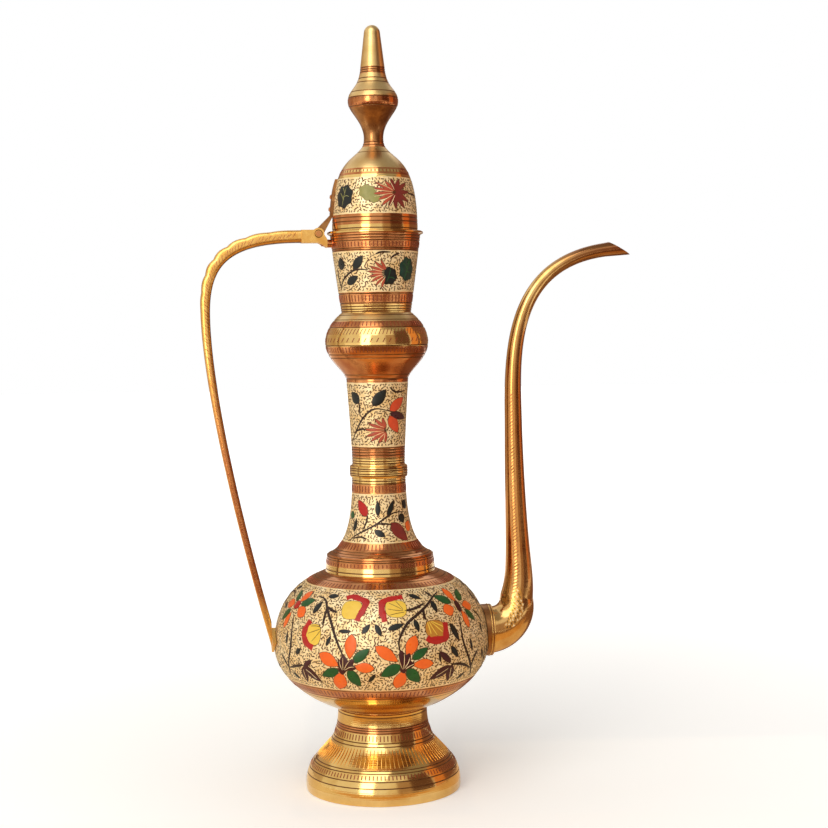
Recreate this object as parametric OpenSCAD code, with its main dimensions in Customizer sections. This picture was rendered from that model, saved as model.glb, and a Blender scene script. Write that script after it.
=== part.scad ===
// Surahi: a spouted brass ewer with a hinged lid.
// The vessel's axis is Z, its foot stands on z = 0, the spout points to +X and the handle to -X.

/* [Foot] */
// Outer radius of the foot at its base
foot_r = 57.5; // [50:0.5:66]
// Height of the foot
foot_h = 59.5; // [52:0.5:72]
// Radius of the waist under the belly
waist_r = 33; // [31.5:0.5:38]
// Height of the upright edge at the base
foot_edge_h = 2; // [1:0.5:5]
// Wall of the foot
foot_wall = 2.6; // [1.8:0.1:4]
// Thickness of the foot's top plate
foot_plate_t = 3.5; // [2.5:0.5:6]
// Radius of the foot screw's shank
foot_screw_r = 4; // [3:0.5:5]
// Length of the foot screw inside the belly's boss
foot_screw_grip = 8; // [6:0.5:9]
// Radius of the foot screw's head
foot_head_r = 7; // [6:0.5:8]
// Height of the foot screw's head
foot_head_h = 4; // [3:0.5:6]
// Thickness of the foot washer
foot_washer_t = 1.2; // [0.8:0.1:2]
// Radius of the foot washer
foot_washer_r = 10; // [8.5:0.5:13]

/* [Belly] */
// Radius of the belly at its widest line
belly_r = 79.5; // [72:0.5:88]
// Height of the upper swell from the widest line to its apex
belly_up_h = 62; // [56:0.5:70]
// Depth of the lower swell from the widest line to its apex
belly_low_h = 50.4; // [44:0.2:58]
// Fullness of the upper swell
belly_up_n = 2.45; // [2.1:0.05:2.8]
// Fullness of the lower swell
belly_low_n = 1.8; // [1.7:0.05:2.3]
// Radius of the belly's flat seat on the foot
belly_seat_r = 30; // [26:0.5:31]
// Wall of the belly
belly_wall = 2; // [1.6:0.1:3]
// Thickness of the belly's floor
belly_floor_t = 2.5; // [2:0.5:4]
// Radius of the screw boss in the belly's floor
boss_r = 10; // [8:0.5:14]
// Height of the lap where the two halves of the belly meet
lap_h = 4; // [2.5:0.5:6]

/* [Shoulder and neck] */
// Radius of the shoulder collar at its foot
collar_r = 40.5; // [38:0.5:46]
// Radius of the shoulder collar at its top
collar_top_r = 39.3; // [37:0.1:40]
// Height of the shoulder collar
collar_h = 11.8; // [9:0.2:16]
// Wall of the shoulder collar
collar_wall = 3; // [2:0.5:4]
// Thickness of the collar's top plate
collar_plate_t = 2.5; // [2:0.5:4]
// Height of the belly's upstand inside the collar
upstand_h = 5; // [3:0.5:6]
// Radius of the lower neck's flared base
neck_base_r = 38.6; // [34:0.2:39]
// Height of the upright edge of the flared base
neck_edge_h = 0.8; // [0.4:0.2:2]
// Radius of the lower neck at its top
neck_top_r = 19.8; // [18.6:0.1:21]
// Height of the lower neck
lower_neck_h = 57; // [48:0.5:70]
// Radius of the spigot under the lower neck
neck_spigot_r = 22; // [20.5:0.5:24]
// Length of the spigot under the lower neck
neck_spigot_h = 5; // [3:0.5:8]
// Wall of the neck tubes
neck_wall = 1.8; // [1.4:0.1:2.2]
// Radius of the screw thread between the neck tubes
thread_r = 16.5; // [15.5:0.1:16.8]
// Length of the screw thread between the neck tubes
thread_h = 7.5; // [5:0.5:8.5]
// Radius of the coupling ring
ring_r = 21.3; // [20.4:0.1:24]
// Height of the coupling ring
ring_h = 9; // [8.6:0.2:14]
// Radius of the ring's rounded edges
ring_round = 1.4; // [0.6:0.2:2]
// Height of the ring's lip inside the upper neck
ring_lip_h = 4; // [2:0.5:6]
// Radius of the upper neck at its foot
upper_neck_low_r = 19.4; // [19.1:0.1:20.4]
// Radius of the upper neck at its top
upper_neck_top_r = 22.6; // [21.5:0.1:24]
// Height of the upper neck
upper_neck_h = 62; // [52:0.5:76]

/* [Bulb and cup] */
// Radius of the bulb
bulb_r = 37.8; // [33:0.2:44]
// Height of the bulb under its widest line
bulb_low_h = 28; // [24:0.5:34]
// Height of the bulb above its widest line
bulb_up_h = 21.5; // [18:0.5:28]
// Radius of the bulb's flat top
bulb_top_r = 25.9; // [25.5:0.1:28]
// Wall of the bulb
bulb_wall = 1.8; // [1.4:0.1:2.4]
// Length of the bulb's lip inside the upper neck
bulb_lip_h = 4; // [2:0.5:6]
// Radius of the cup's lip inside the bulb
cup_lip_r = 22; // [21:0.1:23]
// Length of the cup's lip inside the bulb
cup_lip_h = 3.5; // [2:0.5:5]
// Radius of the cup at its foot
cup_low_r = 25.5; // [24.8:0.1:27]
// Radius of the cup at its top
cup_top_r = 33.2; // [30:0.1:37]
// Height of the cup
cup_h = 57.1; // [50:0.1:66]
// Wall of the cup
cup_wall = 1.9; // [1.5:0.1:2.2]
// How far the mouth's rim stands out past the cup
rim_lip = 2; // [1.6:0.1:3.8]
// Thickness of the mouth's rim
rim_t = 2.2; // [1.6:0.1:3.2]

/* [Lid] */
// How far the lid's foot is set in from the cup's top
lid_inset = 1.9; // [1.4:0.1:2.6]
// Height of the lid's dome
lid_h = 60.9; // [56:0.1:70]
// Wall of the lid
lid_wall = 1.8; // [1.5:0.1:2.2]
// Radius of the lid's flat top
lid_top_r = 8.6; // [8:0.1:10]
// Thickness of the lid's flat top
lid_top_t = 2.8; // [2:0.1:3.6]
// Depth of the bezel below the lid
bezel_drop = 5.5; // [3:0.5:5.5]
// Height of the bezel inside the lid
bezel_lap = 6; // [4:0.5:8]
// Wall of the bezel
bezel_wall = 1.7; // [1.2:0.1:2.5]
// Gap between the closed lid and the rim
lid_gap = 0.3; // [0.2:0.05:0.6]

/* [Finial] */
// Height of the finial's foot up to its narrowest place
finial_foot_h = 6.5; // [4:0.5:9]
// Radius of the finial at its narrowest place
finial_neck_r = 7.1; // [6:0.1:8]
// Radius of the finial's knob
knob_r = 18.4; // [15:0.2:22]
// Height of the knob under its widest line
knob_low_h = 26.5; // [22:0.5:32]
// Height of the knob above its widest line
knob_up_h = 24.5; // [20:0.5:30]
// Radius at the foot of the spire
spire_r = 8.9; // [7.5:0.1:10.5]
// Height of the spire
spire_h = 25; // [18:0.5:34]
// Radius at the top of the spire
tip_r = 5.9; // [4.5:0.1:7]
// Height of the rounded tip
tip_h = 6; // [4:0.5:8]
// Radius of the finial's screwed tenon
tenon_r = 3; // [2.5:0.1:3.4]
// Thickness of the washer inside the lid
finial_washer_t = 1; // [0.6:0.1:1.6]
// Radius of the washer inside the lid
finial_washer_r = 5.6; // [5.4:0.1:6]
// Height of the nut inside the lid
finial_nut_h = 4; // [3:0.5:6]
// Width of the nut across its flats
finial_nut_w = 9; // [8.4:0.2:10]
// Length of the tenon past the nut
tenon_past = 2; // [1:0.5:4]

/* [Hinge] */
// Distance from the rim's edge to the hinge pin
hinge_standoff = 6.8; // [6:0.1:9]
// Depth of the hinge pin below the rim's top
hinge_drop = 1.5; // [0.5:0.1:2.5]
// Radius of the hinge pin
pin_r = 1.5; // [1.2:0.1:1.8]
// Radius of the leaf's barrel
barrel_r = 3.8; // [3.4:0.1:4.2]
// Width of the leaf's barrel
barrel_w = 5.4; // [4:0.2:7]
// Radius of the fork's lugs
lug_r = 4.3; // [3.8:0.1:4.8]
// Thickness of each lug of the fork
lug_t = 2; // [1.5:0.1:3]
// Length of the fork behind the pin
fork_len = 12.5; // [12:0.5:16]
// Length of the fork's nose in front of its lugs
fork_nose = 2; // [1:0.1:2.4]
// Angle to which the lid opens
lid_open = 95; // [80:1:98]
// Thickness of the leaf
leaf_t = 2; // [1.6:0.1:2.6]
// Width of the leaf
leaf_w = 9; // [7.5:0.5:12]
// Height of the leaf's foot above the lid's edge
leaf_low = 10; // [8:0.5:13]
// Height of the leaf's point above the lid's edge
leaf_tip = 38; // [34:0.5:40]
// Radius of the rivets' shanks
rivet_r = 1.1; // [0.8:0.1:1.4]
// Radius of the rivets' heads
rivet_head_r = 2; // [1.7:0.1:2.6]
// Height of the lower rivet above the lid's edge
rivet_rise = 16; // [15:0.5:19]
// Distance between the two rivets
rivet_pitch = 9; // [7:0.5:11]
// Radius of the stud's collar between the fork and the cup
stud_r = 3; // [2.6:0.1:3.4]
// Radius of the stud's shank
stud_shank_r = 2; // [1.5:0.1:2.2]
// Depth of the stud below the hinge pin
stud_drop = 7; // [6.8:0.1:8.4]
// Length of the stud inside the fork
stud_grip = 4; // [3:0.5:6]

/* [Handle] */
// Distance from the vessel's axis to the handle's middle where it stands out most
handle_reach = 124.6; // [116:0.2:140]
// Depth of that place below the handle's top run
handle_bow_drop = 55; // [45:0.5:70]
// Depth of the handle's top run below the hinge pin
handle_axis_drop = 1.8; // [1.4:0.1:2.2]
// Thickness of the handle at the hinge
handle_end_t = 9.4; // [8.6:0.1:10]
// Thickness of the handle where it stands out most
handle_bow_t = 7; // [6:0.1:8.5]
// Thickness of the handle at its lower end
handle_low_t = 5.2; // [4.4:0.1:6]
// Width of the handle at the hinge
handle_w = 9; // [8:0.2:9.4]
// Width of the handle at its lower end
handle_low_w = 7.4; // [6:0.2:9]
// Height of the scallops on the handle's top edge
scallop_h = 1.1; // [0.4:0.1:1.8]
// Height of the handle's lower end above the belly's widest line
handle_low_rise = 12; // [6:0.5:16]
// Thickness of the handle's pad on the belly
pad_t = 1.8; // [1.4:0.1:3]
// Half the height of the pad
pad_half_h = 9; // [7:0.5:12]
// Half the width of the pad
pad_half_w = 12; // [9:0.5:15]

/* [Spout] */
// Height of the spout's root above the belly's widest line
spout_rise = 8; // [5:0.2:13]
// Radius of the spout's flange
flange_r = 19.2; // [18.6:0.1:22]
// Thickness of the flange past the belly
flange_t = 3.4; // [2.5:0.1:6]
// Radius of the hole from the belly into the spout
spout_hole_r = 12; // [9:0.5:13]
// Depth of the flange's collar inside the spout
flange_lip_h = 3; // [2:0.5:4]
// Radius of the spout at its root
root_r = 17.4; // [16.4:0.1:18.4]
// Radius of the spout above its elbow
elbow_r = 12.5; // [11.6:0.1:13.4]
// Radius of the spout half way up
mid_r = 6.6; // [6:0.1:7.4]
// Radius that draws the spout in below its tip
throat_r = 4.3; // [3.8:0.1:5]
// Radius of the spout at its tip
tip_mouth_r = 5.3; // [4.8:0.1:6]
// Wall of the spout at its root
spout_wall = 2; // [1.6:0.1:2.4]
// Wall of the spout at its tip
spout_tip_wall = 1; // [0.8:0.1:1.4]
// Inner radius of the elbow's bend
elbow_bend = 5.8; // [4.5:0.1:8]
// Height from the elbow to the middle of the spout
spout_low_h = 126; // [105:1:145]
// Height from the middle of the spout to its tip
spout_up_h = 135; // [115:1:160]
// Distance from the middle of the spout out to its tip
spout_out = 82.6; // [65:0.2:100]
// Length of the slanting cut at the tip
tip_cut = 15.9; // [10:0.2:18]

/* [Hidden] */
$fn = 96;

// Clearances
fit_gap = 0.05;       // radial gap of brazed and screwed fits
hole_gap = 0.3;       // radial gap of a screw in a plain hole
swing_gap = 0.8;      // gap round the leaf's barrel in the fork
side_gap = 0.3;       // gap at each side of the leaf's barrel
run_gap = 0.06;       // radial gap of the hinge pin in the barrel
lip_gap = 0.45;       // radial gap of the bulb's lip in the neck, which narrows below it
head_gap = 0.1;       // gap under the rivets' heads
ceiling_gap = 0.6;    // radial room round the washer inside the lid
swing_over = 4;       // how far past the lid's end stop the fork's slot is cut, in degrees
cut_over = 1;         // how far a cut runs past the faces it cuts
swell_skip = 4;       // angle left out where the two swells of a cutting outline meet, in degrees
lean_span = 1;        // half the height over which the slope of the lid's side is measured

// Shapes of the curves: how far each end pulls its curve, as a share of the curve's height or width
foot_low_pull = 0.528;
foot_high_pull = 0.647;
flare_in = 0.78;
flare_rise = 0.087;
flare_top_pull = 0.495;
neck_bore_pull = 0.3;
upper_neck_low_pull = 0.28;
upper_neck_high_pull = 0.05;
bulb_low_pull = 0.254;
bulb_high_pull = 0.477;
bulb_top_pull = 0.585;
dome_side_pull = 0.84;
dome_top_out = 0.383;
dome_top_drop = 0.186;
finial_foot_pull = 0.05;
finial_neck_pull = 0.6;
knob_low_pull = 0.472;
knob_high_pull = 0.274;
knob_side_pull = 0.39;
knob_top_out = 0.14;
knob_top_drop = 0.65;
elbow_run = 1.7;
rise_start_out = 4.4;
rise_start_pull = 0.18;
rise_end_in = 0.8;
rise_end_pull = 0.744;
rise_r_shares = [0.45, 0.69];
bend_start_pull = 0.378;
bend_end_back = 0.09;
bend_end_drop = 0.036;
bend_r_share = 0.38;
handle_low_out = 0.53;
handle_low_pull = 0.36;
handle_bow_low_pull = 0.22;
handle_bow_high_pull = 0.64;
handle_top_back = 0.19;

// Small features, sized by the piece that carries them
foot_base_wall = 1.3*foot_wall;
foot_base_round = 0.4;
spigot_wall = 1.3*neck_wall;
bulb_top_t = 1.5*bulb_wall;
ceiling_r = finial_washer_r + ceiling_gap;
dome_step = 0.2;
bezel_lead = 0.6;
pin_head_h = 0.8;
pin_head_r = 1.35*pin_r;
stud_head_r = 0.8*stud_r;
stud_head_h = 0.3*stud_r;
rivet_head_h = 0.5*rivet_head_r;
leaf_mid_share = 0.42;
spout_sides = 24;
scallops = 7;
handle_sides = 16;
squareness = 3;
belly_cut_sides = 240;

// Colours
polished = "#d8a53a";
coppery = "#c98743";
enamel = "#e9dcb2";

// Heights of the stacked pieces
eq_z = foot_h + swell_h(belly_seat_r, belly_r, belly_low_h, belly_low_n);
collar_z = eq_z + swell_h(collar_r, belly_r, belly_up_h, belly_up_n);
neck_z = collar_z + collar_h;
ring_z = neck_z + lower_neck_h;
upper_neck_z = ring_z + ring_h;
bulb_z = upper_neck_z + upper_neck_h;
bulb_eq_z = bulb_z + bulb_low_h;
cup_z = bulb_eq_z + bulb_up_h;
rim_z = cup_z + cup_h;
rim_top_z = rim_z + rim_t;
lid_z = rim_top_z + lid_gap;
lid_top_z = lid_z + lid_h;

// Radii at the mouth, which follow the cup
rim_r = cup_top_r + rim_lip;
lid_r = cup_top_r - lid_inset;
lid_bore_r = lid_r - lid_wall;

// Places of the hinge, the handle and the spout
pin_x = -(rim_r + hinge_standoff);
pin_z = rim_top_z - hinge_drop;
fork_w = barrel_w + 2*side_gap + 2*lug_t;
fork_back_x = pin_x - fork_len;
fork_front_x = pin_x + lug_r + fork_nose;
stud_z = pin_z - stud_drop;
handle_z = pin_z - handle_axis_drop;
pad_x = -(belly_r + pad_t);
pad_z = eq_z + handle_low_rise - pad_half_h/2;
root_z = eq_z + spout_rise;
flange_x = belly_r + flange_t;
upstand_r = collar_top_r - collar_wall;

// Height at which a swell of radius r, height h and fullness n has a given radius
function swell_h(at_r, r, h, n) = h*pow(1 - pow(at_r/r, n), 1/n);
// Points of a swell's outline from one parameter angle to another, side 1 up or -1 down
function swell_arc(r, h, n, from, to, side, steps) = [for (i = [0:steps])
    let(a = from + (to - from)*i/steps) [r*pow(cos(a), 2/n), eq_z + side*h*pow(sin(a), 2/n)]];
function angle_at_r(at_r, r, n) = acos(pow(at_r/r, n/2));
function angle_at_h(dz, h, n) = asin(pow(dz/h, n/2));
// Cubic curve through a and d, drawn towards b and c
function bez_at(a, b, c, d, t) = pow(1 - t, 3)*a + 3*pow(1 - t, 2)*t*b + 3*(1 - t)*t*t*c + pow(t, 3)*d;
function bez(a, b, c, d, steps) = [for (i = [0:steps]) bez_at(a, b, c, d, i/steps)];
// Curve that starts and ends upright, with the two ends' pulls as shares of the height
function s_curve(r0, z0, r1, z1, k0, k1, steps) =
    bez([r0, z0], [r0, z0 + k0*(z1 - z0)], [r1, z1 - k1*(z1 - z0)], [r1, z1], steps);
function reversed(v) = [for (i = [len(v) - 1:-1:0]) v[i]];
function mix(a, b, k) = a + (b - a)*k;
// Rounded edge: a quarter arc about c from one angle to another
function edge_arc(c, r, from, to, steps) = [for (i = [0:steps])
    let(a = from + (to - from)*i/steps) c + r*[cos(a), sin(a)]];

// Outline of the lid and of what follows its side
function dome(r0, z0, r1, z1) = bez([r0, z0], [r0, mix(z0, z1, dome_side_pull)],
    [mix(r1, r0, dome_top_out), mix(z1, z0, dome_top_drop)], [r1, z1], 32);
dome_line = dome(lid_r, lid_z, lid_top_r, lid_top_z);
function dome_r(z) = lookup(z, [for (p = dome_line) [p[1], p[0]]]);
function dome_lean(z) = atan2(dome_r(z + lean_span) - dome_r(z - lean_span), 2*lean_span);
function cup_r(z) = mix(cup_low_r, cup_top_r, (z - cup_z)/cup_h);

module turned(points, sides = $fn) {
    rotate_extrude($fn = sides) polygon(points);
}

// Solid of the belly's outside, grown by a gap
module belly_outside(gap) {
    turned(concat([[0, foot_h]],
        swell_arc(belly_r + gap, belly_low_h + gap, belly_low_n,
            angle_at_r(belly_seat_r, belly_r, belly_low_n), 0, -1, 20),
        swell_arc(belly_r + gap, belly_up_h + gap, belly_up_n, swell_skip,
            angle_at_r(collar_r, belly_r, belly_up_n), 1, 20),
        [[0, collar_z]]), belly_cut_sides);
}

module along_x(x, z) {
    translate([x, 0, z]) rotate([0, 90, 0]) children();
}

module along_y(x, z) {
    translate([x, 0, z]) rotate([90, 0, 0]) children();
}

module foot() {
    inner_r = foot_r - foot_base_wall;
    plate_z = foot_h - foot_plate_t;
    color(polished) difference() {
        turned(concat([[inner_r, 0], [foot_r - foot_base_round, 0]],
            s_curve(foot_r, foot_edge_h, waist_r, foot_h, foot_low_pull, foot_high_pull, 28),
            [[0, foot_h], [0, plate_z]],
            reversed(s_curve(inner_r, foot_edge_h, waist_r - foot_wall, plate_z,
                foot_low_pull, foot_high_pull, 28))));
        translate([0, 0, plate_z - cut_over])
            cylinder(r = foot_screw_r + hole_gap, h = foot_plate_t + 2*cut_over);
    }
}

module foot_washer() {
    color(polished) translate([0, 0, foot_h - foot_plate_t - foot_washer_t]) difference() {
        cylinder(r = foot_washer_r, h = foot_washer_t);
        translate([0, 0, -cut_over])
            cylinder(r = foot_screw_r + hole_gap, h = foot_washer_t + 2*cut_over);
    }
}

module foot_screw() {
    head_z = foot_h - foot_plate_t - foot_washer_t;
    slot_d = foot_head_h/2;
    color(polished) difference() {
        union() {
            translate([0, 0, head_z - foot_head_h]) cylinder(r = foot_head_r, h = foot_head_h);
            translate([0, 0, head_z]) cylinder(r = foot_screw_r, h = foot_h + foot_screw_grip - head_z);
        }
        translate([-foot_head_r - cut_over, -slot_d/2, head_z - foot_head_h - cut_over])
            cube([2*(foot_head_r + cut_over), slot_d, slot_d + cut_over]);
    }
}

module spout_bore() {
    along_x(0, root_z) cylinder(r = spout_hole_r, h = flange_x + cut_over);
}

module belly_lower() {
    inner_h = belly_low_h - belly_wall;
    floor_z = foot_h + belly_floor_t;
    step_r = belly_r - belly_wall/2 - fit_gap;
    boss_top_z = foot_h + foot_screw_grip + belly_floor_t;
    color(enamel) difference() {
        turned(concat([[0, foot_h]],
            swell_arc(belly_r, belly_low_h, belly_low_n,
                angle_at_r(belly_seat_r, belly_r, belly_low_n), 0, -1, 28),
            [[step_r, eq_z], [step_r, eq_z + lap_h], [belly_r - belly_wall, eq_z + lap_h]],
            swell_arc(belly_r - belly_wall, inner_h, belly_low_n, 0,
                angle_at_h(eq_z - floor_z, inner_h, belly_low_n), -1, 28),
            [[boss_r, floor_z], [boss_r, boss_top_z], [0, boss_top_z]]));
        translate([0, 0, foot_h - cut_over])
            cylinder(r = foot_screw_r + fit_gap, h = foot_screw_grip + 2*cut_over);
        spout_bore();
    }
}

module belly_upper() {
    inner_r = belly_r - belly_wall;
    inner_h = belly_up_h - belly_wall;
    step_r = belly_r - belly_wall/2;
    step_z = eq_z + lap_h + fit_gap;
    bore_r = upstand_r - belly_wall;
    color(enamel) difference() {
        turned(concat([[step_r, eq_z]],
            swell_arc(belly_r, belly_up_h, belly_up_n, 0, angle_at_r(collar_r, belly_r, belly_up_n), 1, 28),
            [[upstand_r, collar_z], [upstand_r, collar_z + upstand_h], [bore_r, collar_z + upstand_h]],
            swell_arc(inner_r, inner_h, belly_up_n, angle_at_r(bore_r, inner_r, belly_up_n),
                angle_at_h(lap_h + fit_gap, inner_h, belly_up_n), 1, 28),
            [[step_r, step_z]]));
        spout_bore();
    }
}

module spout_flange() {
    lip_r = (root_r - spout_wall)*cos(180/spout_sides) - 2*fit_gap;
    back_x = belly_r - flange_r;
    color(coppery) difference() {
        union() {
            along_x(back_x, root_z) cylinder(r = flange_r, h = flange_x - back_x);
            along_x(flange_x - fit_gap, root_z) cylinder(r = lip_r, h = flange_lip_h + fit_gap);
        }
        along_x(0, root_z) cylinder(r = spout_hole_r, h = flange_x + flange_lip_h + cut_over);
        belly_outside(fit_gap);
    }
}

// The spout's middle line, as rings of [x, z, lean of the ring from upright, radius, wall]
bend_x = flange_x + elbow_run;
bend_z = root_z + root_r + elbow_bend;
elbow_x = bend_x + elbow_r + elbow_bend;
spout_mid = [elbow_x - rise_end_in, bend_z + spout_low_h];
spout_tip = spout_mid + [spout_out, spout_up_h];
rise_line = [[elbow_x, bend_z], [elbow_x + rise_start_out, bend_z + rise_start_pull*spout_low_h],
    [elbow_x, spout_mid[1] - rise_end_pull*spout_low_h], spout_mid];
rise_r = [elbow_r, mix(elbow_r, mid_r, rise_r_shares[0]), mix(elbow_r, mid_r, rise_r_shares[1]), mid_r];
bend_line = [spout_mid, spout_mid + [0, bend_start_pull*spout_up_h],
    [spout_mid[0] - bend_end_back*spout_out, spout_tip[1] - bend_end_drop*spout_up_h], spout_tip];
bend_r = [mid_r, mix(mid_r, tip_mouth_r, bend_r_share), throat_r, tip_mouth_r];
function curve_at(p, t) = bez_at(p[0], p[1], p[2], p[3], t);
function curve_lean(p, t) =
    let(d = curve_at(p, min(1, t + 0.01)) - curve_at(p, max(0, t - 0.01))) atan2(d[1], d[0]);
elbow_rings = [for (i = [0:8]) let(k = i/8, lean = 90*k, r = mix(root_r, elbow_r, k), d = r + elbow_bend)
    [bend_x + d*sin(lean), bend_z - d*cos(lean), lean, r, spout_wall]];
rise_rings = [for (i = [1:12]) let(t = i/12, p = curve_at(rise_line, t))
    [p[0], p[1], curve_lean(rise_line, t), curve_at(rise_r, t), mix(spout_wall, spout_tip_wall, t/2)]];
bend_rings = [for (i = [1:17]) let(t = i/18, p = curve_at(bend_line, t))
    if (p[0] < spout_tip[0] - tip_cut/2 - tip_mouth_r/4)
        [p[0], p[1], curve_lean(bend_line, t), curve_at(bend_r, t),
            mix(spout_wall, spout_tip_wall, (1 + t)/2)]];
tip_ring = [spout_tip[0], spout_tip[1], curve_lean(bend_line, 1), tip_mouth_r, spout_tip_wall];
root_ring = [flange_x, root_z, 0, root_r, spout_wall];
spout_rings = concat([root_ring], elbow_rings, rise_rings, bend_rings, [tip_ring]);

// Point i of a ring, shrunk by its wall times inset, and slid along by the slanting cut
function ring_point(q, i, inset, cut) = let(a = 360*i/spout_sides, r = q[3] - inset*q[4],
    down = r*cos(a), slide = cut/2*cos(a)*r/q[3])
    [q[0] + down*sin(q[2]) + slide*cos(q[2]), r*sin(a), q[1] - down*cos(q[2]) + slide*sin(q[2])];

module spout() {
    rings = len(spout_rings);
    n = spout_sides;
    points = [for (inset = [0, 1], k = [0:rings - 1], i = [0:n - 1])
        ring_point(spout_rings[k], i, inset, k == rings - 1 ? tip_cut : 0)];
    inside = rings*n;
    last = (rings - 1)*n;
    walls = [for (k = [0:rings - 2], i = [0:n - 1]) let(j = (i + 1)%n, a = k*n + i, b = k*n + j)
        each [[a, a + n, b + n], [a, b + n, b],
            [inside + a, inside + b + n, inside + a + n], [inside + a, inside + b, inside + b + n]]];
    ends = [for (i = [0:n - 1]) let(j = (i + 1)%n)
        each [[i, j, inside + j], [i, inside + j, inside + i],
            [last + i, inside + last + j, last + j], [last + i, inside + last + i, inside + last + j]]];
    color(polished) polyhedron(points, concat(walls, ends));
}

module shoulder_collar() {
    bore_r = upstand_r + fit_gap;
    color(coppery) turned([[bore_r, collar_z], [collar_r, collar_z], [collar_top_r, neck_z],
        [neck_spigot_r + fit_gap, neck_z], [neck_spigot_r + fit_gap, neck_z - collar_plate_t],
        [bore_r, neck_z - collar_plate_t]]);
}

module lower_neck() {
    bore_r = neck_spigot_r - spigot_wall;
    top_bore_r = thread_r - neck_wall;
    low_z = neck_z - neck_spigot_h;
    edge_z = neck_z + neck_edge_h;
    color(enamel) turned(concat(
        [[bore_r, low_z], [neck_spigot_r, low_z], [neck_spigot_r, neck_z], [neck_base_r, neck_z]],
        bez([neck_base_r, edge_z], [mix(neck_base_r, neck_top_r, flare_in), mix(edge_z, ring_z, flare_rise)],
            [neck_top_r, mix(ring_z, edge_z, flare_top_pull)], [neck_top_r, ring_z], 28),
        [[thread_r, ring_z], [thread_r, ring_z + thread_h], [top_bore_r, ring_z + thread_h]],
        s_curve(top_bore_r, ring_z, bore_r, neck_z, neck_bore_pull, neck_bore_pull, 16)));
}

module neck_ring() {
    bore_r = thread_r + fit_gap;
    lip_r = upper_neck_low_r - neck_wall - fit_gap;
    edge_r = ring_r - ring_round;
    color(polished) turned(concat([[bore_r, ring_z]],
        edge_arc([edge_r, ring_z + ring_round], ring_round, -90, 0, 6),
        edge_arc([edge_r, upper_neck_z - ring_round], ring_round, 0, 90, 6),
        [[lip_r, upper_neck_z], [lip_r, upper_neck_z + ring_lip_h], [bore_r, upper_neck_z + ring_lip_h]]));
}

function upper_neck_line(inset) = s_curve(upper_neck_low_r - inset, upper_neck_z,
    upper_neck_top_r - inset, bulb_z, upper_neck_low_pull, upper_neck_high_pull, 16);

module upper_neck() {
    color(enamel) turned(concat(upper_neck_line(0), reversed(upper_neck_line(neck_wall))));
}

function bulb_shoulder(r0, r1, z1) = let(top = [r1, z1])
    bez([r0, bulb_eq_z], [r0, mix(bulb_eq_z, z1, bulb_top_pull)], top, top, 16);

module neck_bulb() {
    lip_r = upper_neck_top_r - neck_wall - lip_gap;
    lip_bore_r = lip_r - bulb_wall;
    lip_z = bulb_z - bulb_lip_h;
    inner_r = bulb_r - bulb_wall;
    top_bore_r = cup_lip_r + fit_gap;
    shelf_z = cup_z - bulb_top_t;
    shelf_r = top_bore_r + fit_gap;
    color(polished) turned(concat([[lip_bore_r, lip_z], [lip_r, lip_z], [lip_r, bulb_z]],
        s_curve(upper_neck_top_r, bulb_z, bulb_r, bulb_eq_z, bulb_low_pull, bulb_high_pull, 20),
        bulb_shoulder(bulb_r, bulb_top_r, cup_z),
        [[top_bore_r, cup_z], [top_bore_r, shelf_z]],
        reversed(bulb_shoulder(inner_r, shelf_r, shelf_z)),
        reversed(s_curve(lip_bore_r, bulb_z + bulb_wall, inner_r, bulb_eq_z,
            bulb_low_pull, bulb_high_pull, 20))));
}

module mouth_cup() {
    floor_z = cup_z + cup_wall;
    lip_bore_r = cup_lip_r - cup_wall;
    color(enamel) difference() {
        turned([[lip_bore_r, cup_z - cup_lip_h], [cup_lip_r, cup_z - cup_lip_h], [cup_lip_r, cup_z],
            [cup_low_r, cup_z], [cup_top_r, rim_z], [cup_top_r - cup_wall, rim_z],
            [cup_r(floor_z) - cup_wall, floor_z], [lip_bore_r, floor_z]]);
        along_x(-cup_top_r - cut_over, stud_z) cylinder(r = stud_shank_r + fit_gap, h = cup_top_r);
    }
}

module mouth_rim() {
    round_r = rim_t/2;
    color(coppery) turned(concat([[cup_top_r - cup_wall, rim_z]],
        edge_arc([rim_r - round_r, rim_z + round_r], round_r, -90, 90, 12),
        [[cup_top_r - cup_wall, rim_top_z]]));
}

// The handle's middle line, from the pad up to the fork
handle_bow = [-handle_reach, handle_z - handle_bow_drop];
handle_low = [pad_x, eq_z + handle_low_rise];
low_line = [handle_low, [mix(handle_low[0], handle_bow[0], handle_low_out),
    mix(handle_low[1], handle_bow[1], handle_low_pull)],
    [handle_bow[0], mix(handle_bow[1], handle_low[1], handle_bow_low_pull)], handle_bow];
top_line = [handle_bow, [handle_bow[0], mix(handle_bow[1], handle_z, handle_bow_high_pull)],
    [mix(handle_bow[0], fork_back_x, handle_top_back), handle_z], [fork_back_x, handle_z]];
// Rings of [x, z, lean, thickness, width, height of the scallop]
low_rings = [for (i = [1:18]) let(t = i/18, p = curve_at(low_line, t), lean = curve_lean(low_line, t),
    thick = mix(handle_low_t, handle_bow_t, pow(t, 2)))
    if (p[0] + thick/2*sin(lean) < pad_x - handle_low_t/4)
        [p[0], p[1], lean, thick, mix(handle_low_w, handle_w, t), 0]];
top_rings = [for (i = [1:56]) let(t = i/56, p = curve_at(top_line, t))
    [p[0], p[1], curve_lean(top_line, t), mix(handle_bow_t, handle_end_t, t), handle_w,
        scallop_h*sin(180*t)*abs(sin(180*scallops*t))]];
low_end = [handle_low[0], handle_low[1], curve_lean(low_line, 0), handle_low_t, handle_low_w, 0];
handle_rings = concat([low_end], low_rings, top_rings);
function signed_pow(v, k) = sign(v)*pow(abs(v), k);
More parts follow.
